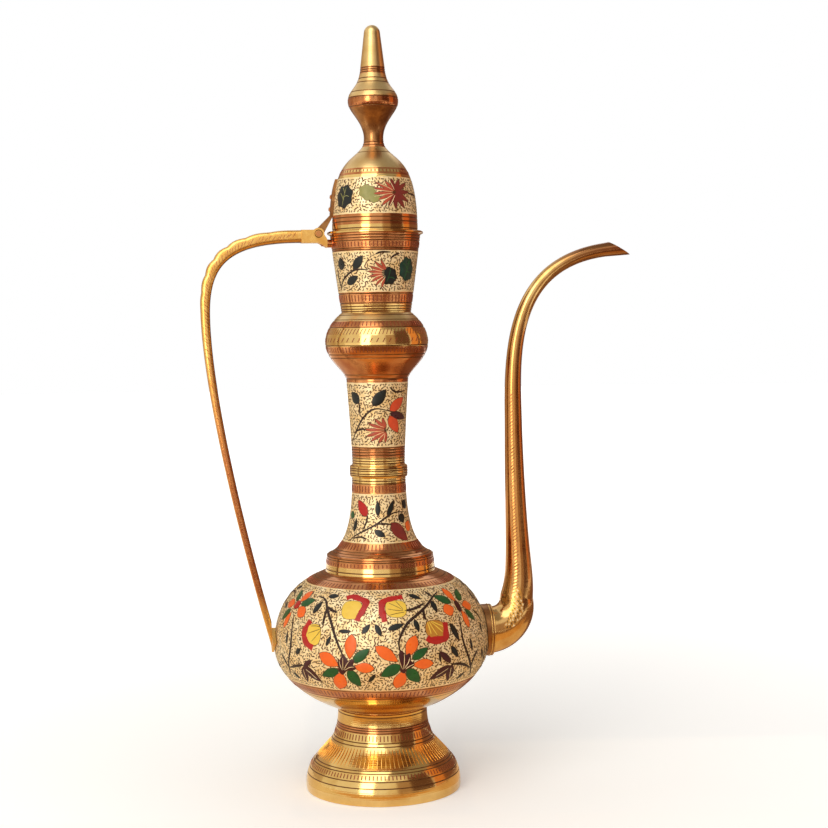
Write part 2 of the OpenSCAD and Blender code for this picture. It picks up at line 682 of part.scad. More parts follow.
// Point i of the strap's section, inner edge at 0 degrees
function strap_point(q, i) = let(a = 360*(i + 0.5)/handle_sides,
    out = -q[3]/2*signed_pow(cos(a), 2/squareness), lift = cos(a) < -0.3 ? q[5] : 0)
    [q[0] - (out + lift)*sin(q[2]), q[4]/2*signed_pow(sin(a), 2/squareness), q[1] + (out + lift)*cos(q[2])];
// The same point, slid along the strap to the pad's face
function scarf_point(q, i) = let(p = strap_point(q, i), slide = (pad_x - p[0])/cos(q[2]))
    [pad_x, p[1], p[2] + slide*sin(q[2])];

module handle() {
    n = handle_sides;
    rings = len(handle_rings);
    points = [for (k = [0:rings - 1], i = [0:n - 1])
        k == 0 ? scarf_point(handle_rings[k], i) : strap_point(handle_rings[k], i)];
    sides = [for (k = [0:rings - 2], i = [0:n - 1]) let(j = (i + 1)%n, a = k*n + i, b = k*n + j)
        each [[a, a + n, b + n], [a, b + n, b]]];
    last = (rings - 1)*n;
    ends = [for (i = [1:n - 2]) each [[0, i, i + 1], [last, last + i + 1, last + i]]];
    color(polished) polyhedron(points, concat(sides, ends));
}

module handle_pad() {
    color(polished) difference() {
        along_x(pad_x, pad_z) linear_extrude(height = pad_t + belly_r/4)
            polygon([[-pad_half_h, 0], [0, -pad_half_w], [pad_half_h, 0], [0, pad_half_w]]);
        belly_outside(fit_gap);
    }
}

// The link between the leaf and its barrel, as corners measured from the pin
leaf_foot_z = lid_z + leaf_low;
leaf_foot_r = dome_r(leaf_foot_z) + fit_gap;
link_heel = barrel_r*[-0.3, 0.9];
link_knee = barrel_r*[1.2, 0.3];
link_back = [-leaf_foot_r - 0.8*leaf_t - pin_x, leaf_foot_z + leaf_t - pin_z];
link_front = [-leaf_foot_r - 0.1*leaf_t - pin_x, leaf_foot_z + leaf_t/4 - pin_z];
function swung(p, a) = [p[0]*cos(a) - p[1]*sin(a), p[0]*sin(a) + p[1]*cos(a)];

module hinge_fork() {
    slot_r = barrel_r + swing_gap;
    open = lid_open + swing_over;
    far = 2*fork_len;
    top = handle_end_t/2 - handle_axis_drop;
    bottom = -handle_end_t/2 - handle_axis_drop;
    nose = lug_r + fork_nose;
    color(polished) difference() {
        along_y(pin_x, pin_z) linear_extrude(height = fork_w, center = true) union() {
            circle(r = lug_r);
            polygon([[-fork_len, bottom], [0, bottom], [nose, -stud_drop - stud_r],
                [nose, -stud_drop + stud_r], [0.9*lug_r, 0], [0, 0.9*lug_r], [-0.6*lug_r, top],
                [-fork_len, top]]);
        }
        along_y(pin_x, pin_z) linear_extrude(height = barrel_w + 2*side_gap, center = true) union() {
            circle(r = slot_r);
            polygon([swung(link_heel, open), swung(link_back, open), [-far, far], [far, far],
                [far, -lug_r/2], [0, -lug_r/2]]);
        }
        along_y(pin_x, pin_z) cylinder(r = pin_r + fit_gap, h = fork_w + 2*cut_over, center = true);
        along_x(fork_front_x - stud_grip - cut_over, stud_z)
            cylinder(r = stud_shank_r + fit_gap, h = stud_grip + 2*cut_over);
    }
}

module handle_stud() {
    inner_x = -(cup_r(stud_z - stud_r) - cup_wall) + fit_gap;
    color(coppery) union() {
        difference() {
            along_x(fork_front_x, stud_z) cylinder(r = stud_r, h = -fork_front_x - cup_low_r);
            translate([0, 0, cup_z]) cylinder(r1 = cup_low_r + fit_gap, r2 = cup_top_r + fit_gap, h = cup_h);
        }
        along_x(fork_front_x - stud_grip, stud_z)
            cylinder(r = stud_shank_r, h = inner_x - fork_front_x + stud_grip + fit_gap);
        along_x(inner_x, stud_z) cylinder(r1 = stud_head_r, r2 = stud_r/2, h = stud_head_h);
    }
}

module hinge_pin() {
    color(coppery) along_y(pin_x, pin_z) union() {
        cylinder(r = pin_r, h = fork_w + 2*pin_head_h, center = true);
        for (side = [-1, 1]) translate([0, 0, side*(fork_w + pin_head_h)/2])
            cylinder(r = pin_head_r, h = pin_head_h, center = true);
    }
}

module lid_dome() {
    socket_z = lid_z + bezel_lap + fit_gap;
    ceiling_z = lid_top_z - lid_top_t;
    color(enamel) difference() {
        turned(concat([[lid_bore_r, lid_z]], dome_line, [[0, lid_top_z], [0, ceiling_z]],
            reversed(dome(lid_bore_r - dome_step, socket_z, ceiling_r, ceiling_z)),
            [[lid_bore_r, socket_z]]));
        translate([0, 0, ceiling_z - cut_over]) cylinder(r = tenon_r + fit_gap, h = lid_top_t + 2*cut_over);
        rivet_holes();
    }
}

module lid_bezel() {
    outer_r = lid_bore_r - fit_gap;
    low_z = lid_z - bezel_drop;
    top_z = lid_z + bezel_lap;
    color(polished) turned([[outer_r - bezel_wall, low_z], [outer_r - bezel_lead/2, low_z],
        [outer_r, low_z + bezel_lead], [outer_r, top_z], [outer_r - bezel_wall, top_z]]);
}

module lid_leaf() {
    tip_z = lid_z + leaf_tip;
    mid_z = mix(leaf_foot_z, tip_z, leaf_mid_share);
    line = [for (p = dome_line) if (p[1] < tip_z + 2*leaf_t) [p[0] + fit_gap, p[1]]];
    color(polished) difference() {
        union() {
            intersection() {
                turned(concat(line, reversed([for (p = line) [p[0] + leaf_t, p[1]]])));
                translate([-2*lid_r, 0, 0]) rotate([90, 0, 90]) linear_extrude(height = 2*lid_r)
                    polygon([[-barrel_w/2, leaf_foot_z], [barrel_w/2, leaf_foot_z], [leaf_w/2, mid_z],
                        [0, tip_z], [-leaf_w/2, mid_z]]);
            }
            along_y(pin_x, pin_z) linear_extrude(height = barrel_w, center = true)
                polygon([link_heel, [0, 0], link_knee, link_front, link_back]);
            along_y(pin_x, pin_z) cylinder(r = barrel_r, h = barrel_w, center = true);
        }
        along_y(pin_x, pin_z) cylinder(r = pin_r + run_gap, h = barrel_w + 2*cut_over, center = true);
        rivet_holes();
    }
}

// Places on the leaf's outside where the rivets sit, square to the lid's side
module rivet_places() {
    for (k = [0, 1]) let(z = lid_z + rivet_rise + k*rivet_pitch)
        translate([-(dome_r(z) + fit_gap + leaf_t), 0, z]) rotate([0, 90 - dome_lean(z), 0]) children();
}

module rivet_holes() {
    rivet_places() translate([0, 0, -cut_over])
        cylinder(r = rivet_r + fit_gap, h = leaf_t + lid_wall + 3*cut_over);
}

module leaf_rivets() {
    depth = leaf_t + fit_gap + 1.3*lid_wall;
    color(coppery) rivet_places() union() {
        translate([0, 0, -head_gap - rivet_head_h])
            cylinder(r1 = rivet_head_r/2, r2 = rivet_head_r, h = rivet_head_h);
        translate([0, 0, -head_gap - rivet_head_h/2])
            cylinder(r = rivet_r, h = depth + head_gap + rivet_head_h);
        translate([0, 0, depth]) cylinder(r1 = rivet_head_r, r2 = rivet_head_r/2, h = rivet_head_h);
    }
}

module finial() {
    neck_top_z = lid_top_z + finial_foot_h;
    knob_z = neck_top_z + knob_low_h;
    spire_z = knob_z + knob_up_h;
    tip_z = spire_z + spire_h;
    tenon_z = lid_top_z - lid_top_t - finial_washer_t - finial_nut_h - tenon_past;
    knob_line = s_curve(finial_neck_r, neck_top_z, knob_r, knob_z, knob_low_pull, knob_high_pull, 18);
    top_line = bez([knob_r, knob_z], [knob_r, mix(knob_z, spire_z, knob_side_pull)],
        [mix(spire_r, knob_r, knob_top_out), mix(spire_z, knob_z, knob_top_drop)], [spire_r, spire_z], 18);
    color(polished) turned(concat([[0, tenon_z], [tenon_r, tenon_z], [tenon_r, lid_top_z]],
        s_curve(lid_top_r, lid_top_z, finial_neck_r, neck_top_z, finial_foot_pull, finial_neck_pull, 8),
        [for (p = knob_line) if (p[1] > neck_top_z) p],
        [for (p = top_line) if (p[1] > knob_z) p],
        [for (i = [0:6]) [tip_r*cos(15*i), tip_z + tip_h*sin(15*i)]]));
}

module finial_washer() {
    washer_z = lid_top_z - lid_top_t - finial_washer_t;
    color(polished) difference() {
        translate([0, 0, washer_z]) cylinder(r = finial_washer_r, h = finial_washer_t);
        translate([0, 0, washer_z - cut_over])
            cylinder(r = tenon_r + fit_gap, h = finial_washer_t + 2*cut_over);
    }
}

module finial_nut() {
    nut_z = lid_top_z - lid_top_t - finial_washer_t - finial_nut_h;
    color(polished) difference() {
        translate([0, 0, nut_z]) cylinder(d = finial_nut_w/cos(30), h = finial_nut_h, $fn = 6);
        translate([0, 0, nut_z - cut_over]) cylinder(r = tenon_r + fit_gap, h = finial_nut_h + 2*cut_over);
    }
}

foot();
foot_washer();
foot_screw();
belly_lower();
belly_upper();
spout_flange();
spout();
shoulder_collar();
lower_neck();
neck_ring();
upper_neck();
neck_bulb();
mouth_cup();
mouth_rim();
handle();
handle_pad();
hinge_fork();
handle_stud();
hinge_pin();
lid_dome();
lid_bezel();
lid_leaf();
leaf_rivets();
finial();
finial_washer();
finial_nut();
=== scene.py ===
import bisect
import math
import random

import bpy
from mathutils import Matrix, Vector


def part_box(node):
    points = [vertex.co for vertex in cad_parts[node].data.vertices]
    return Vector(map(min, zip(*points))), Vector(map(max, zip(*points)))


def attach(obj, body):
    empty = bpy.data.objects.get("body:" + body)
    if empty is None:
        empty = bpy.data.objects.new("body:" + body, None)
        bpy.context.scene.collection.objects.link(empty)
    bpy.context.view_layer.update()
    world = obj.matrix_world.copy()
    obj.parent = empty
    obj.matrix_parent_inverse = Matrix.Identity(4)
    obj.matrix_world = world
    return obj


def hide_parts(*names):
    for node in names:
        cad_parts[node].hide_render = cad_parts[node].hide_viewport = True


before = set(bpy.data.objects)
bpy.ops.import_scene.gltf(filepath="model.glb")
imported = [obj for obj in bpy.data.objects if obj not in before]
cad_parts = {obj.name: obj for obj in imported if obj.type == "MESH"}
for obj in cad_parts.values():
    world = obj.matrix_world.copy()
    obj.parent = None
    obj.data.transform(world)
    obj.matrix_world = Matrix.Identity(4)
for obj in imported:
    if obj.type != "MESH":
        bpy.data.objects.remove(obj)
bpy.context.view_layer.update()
scene = bpy.context.scene
scene.view_settings.view_transform = "Standard"
mm = 0.001
dice = random.Random(21)


def linear(code):  # sRGB hex to linear RGBA
    parts = [int(code[i:i + 2], 16) / 255 for i in (1, 3, 5)]
    return tuple(v / 12.92 if v <= 0.04045 else ((v + 0.055) / 1.055) ** 2.4 for v in parts) + (1.0,)


def mix(a, b, k):
    return a + (b - a) * k


def addNode(tree, kind, inputs, **settings):  # one node with its values, links and settings
    made = tree.nodes.new("ShaderNode" + kind)
    for key, value in settings.items():
        setattr(made, key, value)
    for key, value in inputs.items():
        if isinstance(value, bpy.types.NodeSocket):
            tree.links.new(value, made.inputs[key])
        else:
            made.inputs[key].default_value = value
    return made


def newMaterial(name):
    material = bpy.data.materials.new(name)
    material.use_nodes = True
    material.node_tree.nodes.clear()
    return material


finish = {}

# blotch, ringPitch, ringDepth, grain and grainDepth in mm; rough on the light parts and on the dark
metals = {
    # turned and polished brass under clear lacquer: soft gold mirror with faint turning rings
    "polishedBrass": {
        "light": "#EAC57C", "dark": "#D2A257", "blotch": 34, "rough": (0.09, 0.18), "metallic": 1.0,
        "ringPitch": 1.3, "ringDepth": 0.010, "grain": 0.8, "grainDepth": 0.006},
    # spun brass left from the lathe: satin gold, its fine rings blur what it mirrors
    "spunBrass": {
        "light": "#E6C588", "dark": "#CEA462", "blotch": 24, "rough": (0.27, 0.37), "metallic": 1.0,
        "ringPitch": 1.3, "ringDepth": 0.012, "grain": 0.8, "grainDepth": 0.006},
    # brass under copper-toned lacquer: tan-red bands that mirror darker than the gold
    "copperLacquer": {
        "light": "#D7945B", "dark": "#B0673A", "blotch": 16, "rough": (0.11, 0.20), "metallic": 1.0,
        "ringPitch": 1.0, "ringDepth": 0.018, "grain": 0.8, "grainDepth": 0.008},
    # ground cut back with a punch and left matt: cream gold with little shine
    "punchedGround": {
        "light": "#FCE8BA", "dark": "#EAC584", "blotch": 8, "rough": (0.50, 0.62), "metallic": 0.55,
        "ringPitch": 2.0, "ringDepth": 0.004, "grain": 1.5, "grainDepth": 0.060},
    # cast brass, filed and buffed by hand: warm gold with a slight ripple
    "castBrass": {
        "light": "#F2C06C", "dark": "#DA9E4B", "blotch": 7, "rough": (0.22, 0.38), "metallic": 1.0,
        "ringPitch": 3.0, "ringDepth": 0.004, "grain": 2.2, "grainDepth": 0.035},
    # drawn tube, hand-buffed: pale gold at the elbow and bend, orange gold between, and dark brown at the
    # flared tip as painted shade
    "drawnBrass": {
        "light": "#E6BC78", "dark": "#C99855", "blotch": 12, "rough": (0.11, 0.20), "metallic": 1.0,
        "ringPitch": 3.0, "ringDepth": 0.003, "grain": 1.6, "grainDepth": 0.014,
        # the second, dark brown band darkens the flared tip: painted shade
        "stainsAndShade": [("#B8763A", (115, 180), (290, 375)), ("#8E4A2C", (380, 396), (500, 501))]},
    # brass gone brown in the turned grooves: darker line, with little shine; the same finish is painted shade
    # along the inside of the handle's bow
    "tarnishedBrass": {
        "light": "#8C5C30", "dark": "#5F391B", "blotch": 5, "rough": (0.30, 0.48), "metallic": 0.8,
        "ringPitch": 2.0, "ringDepth": 0.003, "grain": 0.9, "grainDepth": 0.010},
    # punch strokes filled with lac: dull red-brown
    "lacStroke": {
        "light": "#9A4D29", "dark": "#6E361C", "blotch": 6, "rough": (0.30, 0.46), "metallic": 0.5,
        "ringPitch": 2.0, "ringDepth": 0.003, "grain": 0.9, "grainDepth": 0.010},
    # hammered sheet brass, browned by handling: dark tan with a soft shine
    "brownedBrass": {
        "light": "#B07C4A", "dark": "#80532F", "blotch": 6, "rough": (0.24, 0.42), "metallic": 1.0,
        "ringPitch": 3.0, "ringDepth": 0.003, "grain": 1.8, "grainDepth": 0.030},
}
# the same casting where hands have worn it: red-brown stain along the handle's lower run
metals["wornBrass"] = dict(metals["castBrass"], stainsAndShade=[("#B8683E", (130, 150), (250, 330))])
for name, made in metals.items():
    finish[name] = newMaterial(name)
    tree = finish[name].node_tree
    coords = addNode(tree, "TexCoord", {}).outputs["Object"]
    blotch = addNode(tree, "TexNoise", {
        "Vector": coords, "Scale": 1 / (made["blotch"] * mm), "Detail": 5.0, "Roughness": 0.6})
    spread = addNode(tree, "MapRange", {"Value": blotch.outputs["Fac"], "From Min": 0.32, "From Max": 0.68})
    tint = addNode(tree, "Mix", {
        0: spread.outputs["Result"], 6: linear(made["light"]), 7: linear(made["dark"])}, data_type="RGBA")
    colour = tint.outputs[2]
    # red-brown stain on the handle's lower run, and painted shade on the spout's flared tip
    for shade, start, end in made.get("stainsAndShade", ()):  # patchy, fading in and out over these heights in mm
        place = addNode(tree, "SeparateXYZ", {0: coords})
        above = addNode(tree, "MapRange", {
            "Value": place.outputs["Z"], "From Min": start[0] * mm, "From Max": start[1] * mm})
        below = addNode(tree, "MapRange", {
            "Value": place.outputs["Z"], "From Min": end[0] * mm, "From Max": end[1] * mm,
            "To Min": 1.0, "To Max": 0.0})
        patches = addNode(tree, "MapRange", {
            "Value": blotch.outputs["Fac"], "From Min": 0.3, "From Max": 0.7, "To Min": 1.0, "To Max": 0.6})
        between = addNode(tree, "Math", {
            0: above.outputs["Result"], 1: below.outputs["Result"]}, operation="MULTIPLY")
        amount = addNode(tree, "Math", {
            0: between.outputs[0], 1: patches.outputs["Result"]}, operation="MULTIPLY")
        stainShadeMix = addNode(tree, "Mix", {
            0: amount.outputs[0], 6: colour, 7: linear(shade)}, data_type="RGBA")
        colour = stainShadeMix.outputs[2]
    polish = addNode(tree, "MapRange", {
        "Value": blotch.outputs["Fac"], "From Min": 0.3, "From Max": 0.7,
        "To Min": made["rough"][0], "To Max": made["rough"][1]})
    # turning rings are finer than this on the real one; drawn coarse enough to show
    rings = addNode(tree, "TexWave", {
        "Vector": coords, "Scale": math.pi / (10 * made["ringPitch"] * mm), "Distortion": 0.6, "Detail": 2.0,
        "Detail Scale": 0.4}, wave_type="BANDS", bands_direction="Z")
    grain = addNode(tree, "TexNoise", {"Vector": coords, "Scale": 1 / (made["grain"] * mm), "Detail": 2.0})
    ringBump = addNode(tree, "Bump", {
        "Height": rings.outputs["Fac"], "Strength": 1.0, "Distance": made["ringDepth"] * mm})
    grainBump = addNode(tree, "Bump", {
        "Height": grain.outputs["Fac"], "Strength": 1.0, "Distance": made["grainDepth"] * mm,
        "Normal": ringBump.outputs["Normal"]})
    shader = addNode(tree, "BsdfPrincipled", {
        "Base Color": colour, "Metallic": made["metallic"], "Roughness": polish.outputs["Result"],
        "Normal": grainBump.outputs["Normal"]})
    addNode(tree, "OutputMaterial", {"Surface": shader.outputs["BSDF"]})

enamels = {
    # glassy lac and enamel colours rubbed into the engraving: clear, slightly uneven, with a wet gloss
    "orangeEnamel": ("#F56F1E", "#E05510"),
    "vermilionEnamel": ("#DC4E22", "#BC3812"),
    "redEnamel": ("#C4241A", "#98130E"),
    "rustEnamel": ("#C4573A", "#963522"),
    "brickEnamel": ("#8A3024", "#661D18"),
    "amberEnamel": ("#CC8C2E", "#A5621E"),
    "deepGreenEnamel": ("#16402F", "#0B2A1E"),
    "yellowEnamel": ("#F0CB50", "#DFAF38"),
    "greenEnamel": ("#236028", "#143C19"),
    "paleGreenEnamel": ("#A49856", "#7C7E42"),
    "blackGreenEnamel": ("#1E211B", "#0F110D"),
    "maroonEnamel": ("#4F1B1B", "#300C0C"),
    # dark brown for the stems, and painted shadow in the spout's engraved scales
    "stemEnamel": ("#3A1E0C", "#221006"),
    "outlineEnamel": ("#5A3519", "#3C210F"),
    # dark brown for the punched ground's marks: painted shadow in the cuts
    "grainEnamel": ("#74461D", "#3E220C"),
}
glaze = {"pool": 4.0, "peel": 1.0, "peelDepth": 0.02, "rough": (0.26, 0.46), "ior": 1.52, "specular": 0.3}
for name, (bright, deep) in enamels.items():
    finish[name] = newMaterial(name)
    tree = finish[name].node_tree
    coords = addNode(tree, "TexCoord", {}).outputs["Object"]
    pool = addNode(tree, "TexNoise", {  # the colour pools over a few mm
        "Vector": coords, "Scale": 1 / (glaze["pool"] * mm), "Detail": 3.0})
    tint = addNode(tree, "Mix", {
        0: pool.outputs["Fac"], 6: linear(bright), 7: linear(deep)}, data_type="RGBA")
    gloss = addNode(tree, "MapRange", {
        "Value": pool.outputs["Fac"], "From Min": 0.3, "From Max": 0.7,
        "To Min": glaze["rough"][0], "To Max": glaze["rough"][1]})
    pits = addNode(tree, "TexNoise", {  # orange peel
        "Vector": coords, "Scale": 1 / (glaze["peel"] * mm), "Detail": 1.0})
    bump = addNode(tree, "Bump", {
        "Height": pits.outputs["Fac"], "Strength": 1.0, "Distance": glaze["peelDepth"] * mm})
    shader = addNode(tree, "BsdfPrincipled", {
        "Base Color": tint.outputs[2], "Roughness": gloss.outputs["Result"], "IOR": glaze["ior"],
        "Specular IOR Level": glaze["specular"], "Normal": bump.outputs["Normal"]})
    addNode(tree, "OutputMaterial", {"Surface": shader.outputs["BSDF"]})
print("materials:", len(finish))


def curve(a, b, c, d, steps):  # cubic from a to d, drawn towards b and c
    made = []
    for i in range(steps + 1):
        t = i / steps
        made.append(tuple((1 - t) ** 3 * p + 3 * (1 - t) ** 2 * t * q + 3 * (1 - t) * t * t * v + t ** 3 * w
                          for p, q, v, w in zip(a, b, c, d)))
    return made


def uprightCurve(r0, z0, r1, z1, k0, k1, steps):  # starts and ends upright
    return curve((r0, z0), (r0, z0 + k0 * (z1 - z0)), (r1, z1 - k1 * (z1 - z0)), (r1, z1), steps)


def taper(r0, z0, r1, z1, steps):  # straight side
    return [(mix(r0, r1, i / steps), mix(z0, z1, i / steps)) for i in range(steps + 1)]


def swellHeight(at, r, h, power):
    return h * (1 - (at / r) ** power) ** (1 / power)


def swell(r, h, power, middle, low, high, steps):  # side of a swell between two heights from its middle
    side = 1 if high > 0 else -1
    angles = [math.asin(min(1, abs(v) / h) ** (power / 2)) for v in (low, high)]
    made = []
    for i in range(steps + 1):
        a = mix(angles[0], angles[1], i / steps)
        made.append((r * math.cos(a) ** (2 / power), middle + side * h * math.sin(a) ** (2 / power)))
    return made


def trackOf(points):  # a side outline from bottom to top, with its running length
    length, track = 0.0, {"s": [], "r": [], "z": []}
    for i, (r, z) in enumerate(points):
        length += math.dist(points[i - 1], points[i]) if i else 0.0
        track["s"].append(length)
        track["r"].append(r)
        track["z"].append(z)
    return track


def spotOn(track, s):  # radius, height and outward slope at a length along the outline
    i = min(max(bisect.bisect_right(track["s"], s) - 1, 0), len(track["s"]) - 2)
    run = track["s"][i + 1] - track["s"][i]
    k = (s - track["s"][i]) / run
    dr, dz = track["r"][i + 1] - track["r"][i], track["z"][i + 1] - track["z"][i]
    return track["r"][i] + dr * k, track["z"][i] + dz * k, dz / run, -dr / run


def lengthAt(track, z):
    i = min(max(bisect.bisect_right(track["z"], z) - 1, 0), len(track["z"]) - 2)
    k = (z - track["z"][i]) / (track["z"][i + 1] - track["z"][i])
    return mix(track["s"][i], track["s"][i + 1], k)


def makePiece(name, points, faces, parts, body, slot, nodes=()):  # points in mm, one finish for each face
    names = sorted(set(parts))
    mesh = bpy.data.meshes.new(name)
    mesh.from_pydata([(x * mm, y * mm, z * mm) for x, y, z in points], [], faces)
    for part in names:
        mesh.materials.append(finish[part])
    order = {part: i for i, part in enumerate(names)}
    mesh.polygons.foreach_set("material_index", [order[part] for part in parts])
    mesh.polygons.foreach_set("use_smooth", [True] * len(faces))
    mesh.set_sharp_from_angle(angle=math.radians(38))
    piece = bpy.data.objects.new(name, mesh)
    scene.collection.objects.link(piece)
    if nodes:
        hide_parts(*nodes)
    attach(piece, body)


groove = {"half": 0.4, "depth": 0.24}
turning = {"step": 1.2, "axis": 1e-6}  # mm along a side, and the radius that counts as the axis


def turnPiece(name, track, bands, closing, body, slot, node, sides=240, inside="polishedBrass"):
    # bands run upwards: top height, finish, heights of the grooves turned in it
    outline = []
    start = track["s"][0]
    for top, part, cuts in bands:
        end = track["s"][-1] if top is None else lengthAt(track, top)
        for stop in [lengthAt(track, z) for z in cuts] + [None]:
            upTo = end if stop is None else stop - groove["half"]
            count = max(1, round((upTo - start) / turning["step"]))
            outline += [(*spotOn(track, mix(start, upTo, i / count))[:2], part) for i in range(count)]
            start = upTo
            if stop is not None:
                for shift, drop in ((-1, 0), (-0.35, 1), (0.35, 1)):
                    r, z, nr, nz = spotOn(track, stop + shift * groove["half"])
                    outline.append((r - nr * drop * groove["depth"], z - nz * drop * groove["depth"],
                                    "tarnishedBrass"))
                start = stop + groove["half"]
    outline.append((track["r"][-1], track["z"][-1], inside))
    outline += [(r, z, inside) for r, z in closing]
    points, index = [], []
    for r, z, part in outline:
        index.append(len(points))
        for i in range(1 if r < turning["axis"] else sides):
            a = 2 * math.pi * i / sides
            points.append((r * math.cos(a), r * math.sin(a), z))
    faces, parts = [], []
    for j, (r, z, part) in enumerate(outline):
        k = (j + 1) % len(outline)
        lowPole, highPole = r < turning["axis"], outline[k][0] < turning["axis"]
        if lowPole and highPole:
            continue
        for i in range(sides):
            n = (i + 1) % sides
            if lowPole:
                faces.append((index[j], index[k] + n, index[k] + i))
            elif highPole:
                faces.append((index[j] + i, index[j] + n, index[k]))
            else:
                faces.append((index[j] + i, index[j] + n, index[k] + n, index[k] + i))
            parts.append(part)
    makePiece(name, points, faces, parts, body, slot, (node,))


gold, satin, copper, ground = "polishedBrass", "spunBrass", "copperLacquer", "punchedGround"

foot = {"low": 57.5, "waist": 33.0, "edge": 2.0, "chamfer": 0.4, "top": 59.5, "wall": 2.6, "baseWall": 3.38,
        "plate": 3.5, "hole": 4.3, "pulls": (0.528, 0.647)}
footBore, plateZ = foot["low"] - foot["baseWall"], foot["top"] - foot["plate"]
footTrack = trackOf([(foot["low"] - foot["chamfer"], 0.0)] + uprightCurve(
    foot["low"], foot["edge"], foot["waist"], foot["top"], *foot["pulls"], 200))
footInside = uprightCurve(footBore, foot["edge"], foot["waist"] - foot["wall"], plateZ, *foot["pulls"], 24)
turnPiece("foot_turned", footTrack, [
    (17.6, gold, (12.4, 16.8)), (21.2, gold, ()), (24.0, gold, (21.8, 23.5)), (37.0, gold, ()),
    (40.4, gold, (37.6, 39.9)), (45.8, gold, ()), (50.6, copper, (46.6, 48.3, 50.0)), (None, gold, (57.8,))],
    [(foot["hole"], foot["top"]), (foot["hole"], plateZ)] + footInside[::-1] + [(footBore, 0.0)],
    "vessel", "polished_brass", "foot")

# heights follow the solid's radius; the skin's is a little less, so that the enamel stays within the box
belly = {"r": 79.0, "solidR": 79.5, "upH": 62.0, "lowH": 50.4, "upN": 2.45, "lowN": 1.8, "seat": 30.0,
         "wall": 1.7, "floor": 2.5, "collar": 40.5, "bore": 4.05, "upstand": 36.3, "upstandH": 5.0,
         "upstandWall": 2.0, "innerDrop": 3.0}
middleLine = 1e-6  # just off the widest line, on the half that is meant
equator = foot["top"] + swellHeight(belly["seat"], belly["solidR"], belly["lowH"], belly["lowN"])
collarZ = equator + swellHeight(belly["collar"], belly["solidR"], belly["upH"], belly["upN"])
floorZ, upstandZ = foot["top"] + belly["floor"], collarZ + belly["upstandH"]
bellyBore, bellyBoreLowH, bellyBoreUpH = (belly[size] - belly["wall"] for size in ("r", "lowH", "upH"))
lowSide = swell(belly["r"], belly["lowH"], belly["lowN"], equator, -middleLine, foot["top"] - equator, 160)
lowSide.reverse()
upSide = swell(belly["r"], belly["upH"], belly["upN"], equator, middleLine, collarZ - equator, 200)
bellyTrack = trackOf(lowSide + upSide[1:])
lowInside = swell(bellyBore, bellyBoreLowH, belly["lowN"], equator, -middleLine, floorZ - equator, 30)
turnPiece("belly_lower_turned", trackOf(lowSide), [
    (65.0, copper, (61.4, 63.2)), (78.0, gold, (76.6,)), (86.4, copper, (79.0, 85.6)), (None, ground, ())],
    lowInside + [(belly["bore"], floorZ), (belly["bore"], foot["top"])],
    "vessel", "enamelled_brass", "belly_lower")
upInside = swell(bellyBore, bellyBoreUpH, belly["upN"], equator, middleLine,
                 collarZ - equator - belly["innerDrop"], 30)
turnPiece("belly_upper_turned", trackOf(upSide), [
    (154.9, ground, ()), (None, copper, (158.6, 160.6))],
    [(belly["upstand"], collarZ), (belly["upstand"], upstandZ),
     (belly["upstand"] - belly["upstandWall"], upstandZ)] + upInside[::-1],
    "vessel", "enamelled_brass", "belly_upper")

collar = {"low": 40.5, "high": 39.3, "h": 11.8, "bore": 36.35, "plate": 2.5, "spigot": 22.05}
neckZ = collarZ + collar["h"]
collarTrack = trackOf(taper(collar["low"], collarZ, collar["high"], neckZ, 20))
turnPiece("collar_turned", collarTrack, [
    (167.2, gold, (163.8,)), (171.0, copper, ()), (None, copper, (171.6, 173.2))],
    [(collar["spigot"], neckZ), (collar["spigot"], neckZ - collar["plate"]),
     (collar["bore"], neckZ - collar["plate"]), (collar["bore"], collarZ)],
    "vessel", "copper_lacquer", "shoulder_collar")

lowNeck = {"base": 38.6, "edge": 0.8, "top": 19.8, "h": 57.0, "flareIn": 0.78, "flareRise": 0.087,
           "topPull": 0.495, "spigot": 22.0, "spigotH": 5.0, "bore": 19.66, "thread": 16.5, "threadH": 7.5,
           "topBore": 14.7, "borePulls": (0.3, 0.3)}
ringZ = neckZ + lowNeck["h"]
edgeZ = neckZ + lowNeck["edge"]
threadZ, spigotZ = ringZ + lowNeck["threadH"], neckZ - lowNeck["spigotH"]
flare = (mix(lowNeck["base"], lowNeck["top"], lowNeck["flareIn"]), mix(edgeZ, ringZ, lowNeck["flareRise"]))
lowNeckTrack = trackOf([(lowNeck["base"], neckZ)] + curve(
    (lowNeck["base"], edgeZ), flare, (lowNeck["top"], mix(ringZ, edgeZ, lowNeck["topPull"])),
    (lowNeck["top"], ringZ), 240))
lowNeckInside = uprightCurve(lowNeck["topBore"], ringZ, lowNeck["bore"], neckZ, *lowNeck["borePulls"], 16)
turnPiece("lower_neck_turned", lowNeckTrack, [
    (178.6, copper, (175.0, 176.4, 178.0)), (184.1, copper, ()), (219.3, ground, ()), (226.0, copper, ()),
    (None, gold, (226.6, 228.6))],
    [(lowNeck["thread"], ringZ), (lowNeck["thread"], threadZ), (lowNeck["topBore"], threadZ)] + lowNeckInside
    + [(lowNeck["bore"], spigotZ), (lowNeck["spigot"], spigotZ), (lowNeck["spigot"], neckZ)],
    "vessel", "enamelled_brass", "lower_neck")

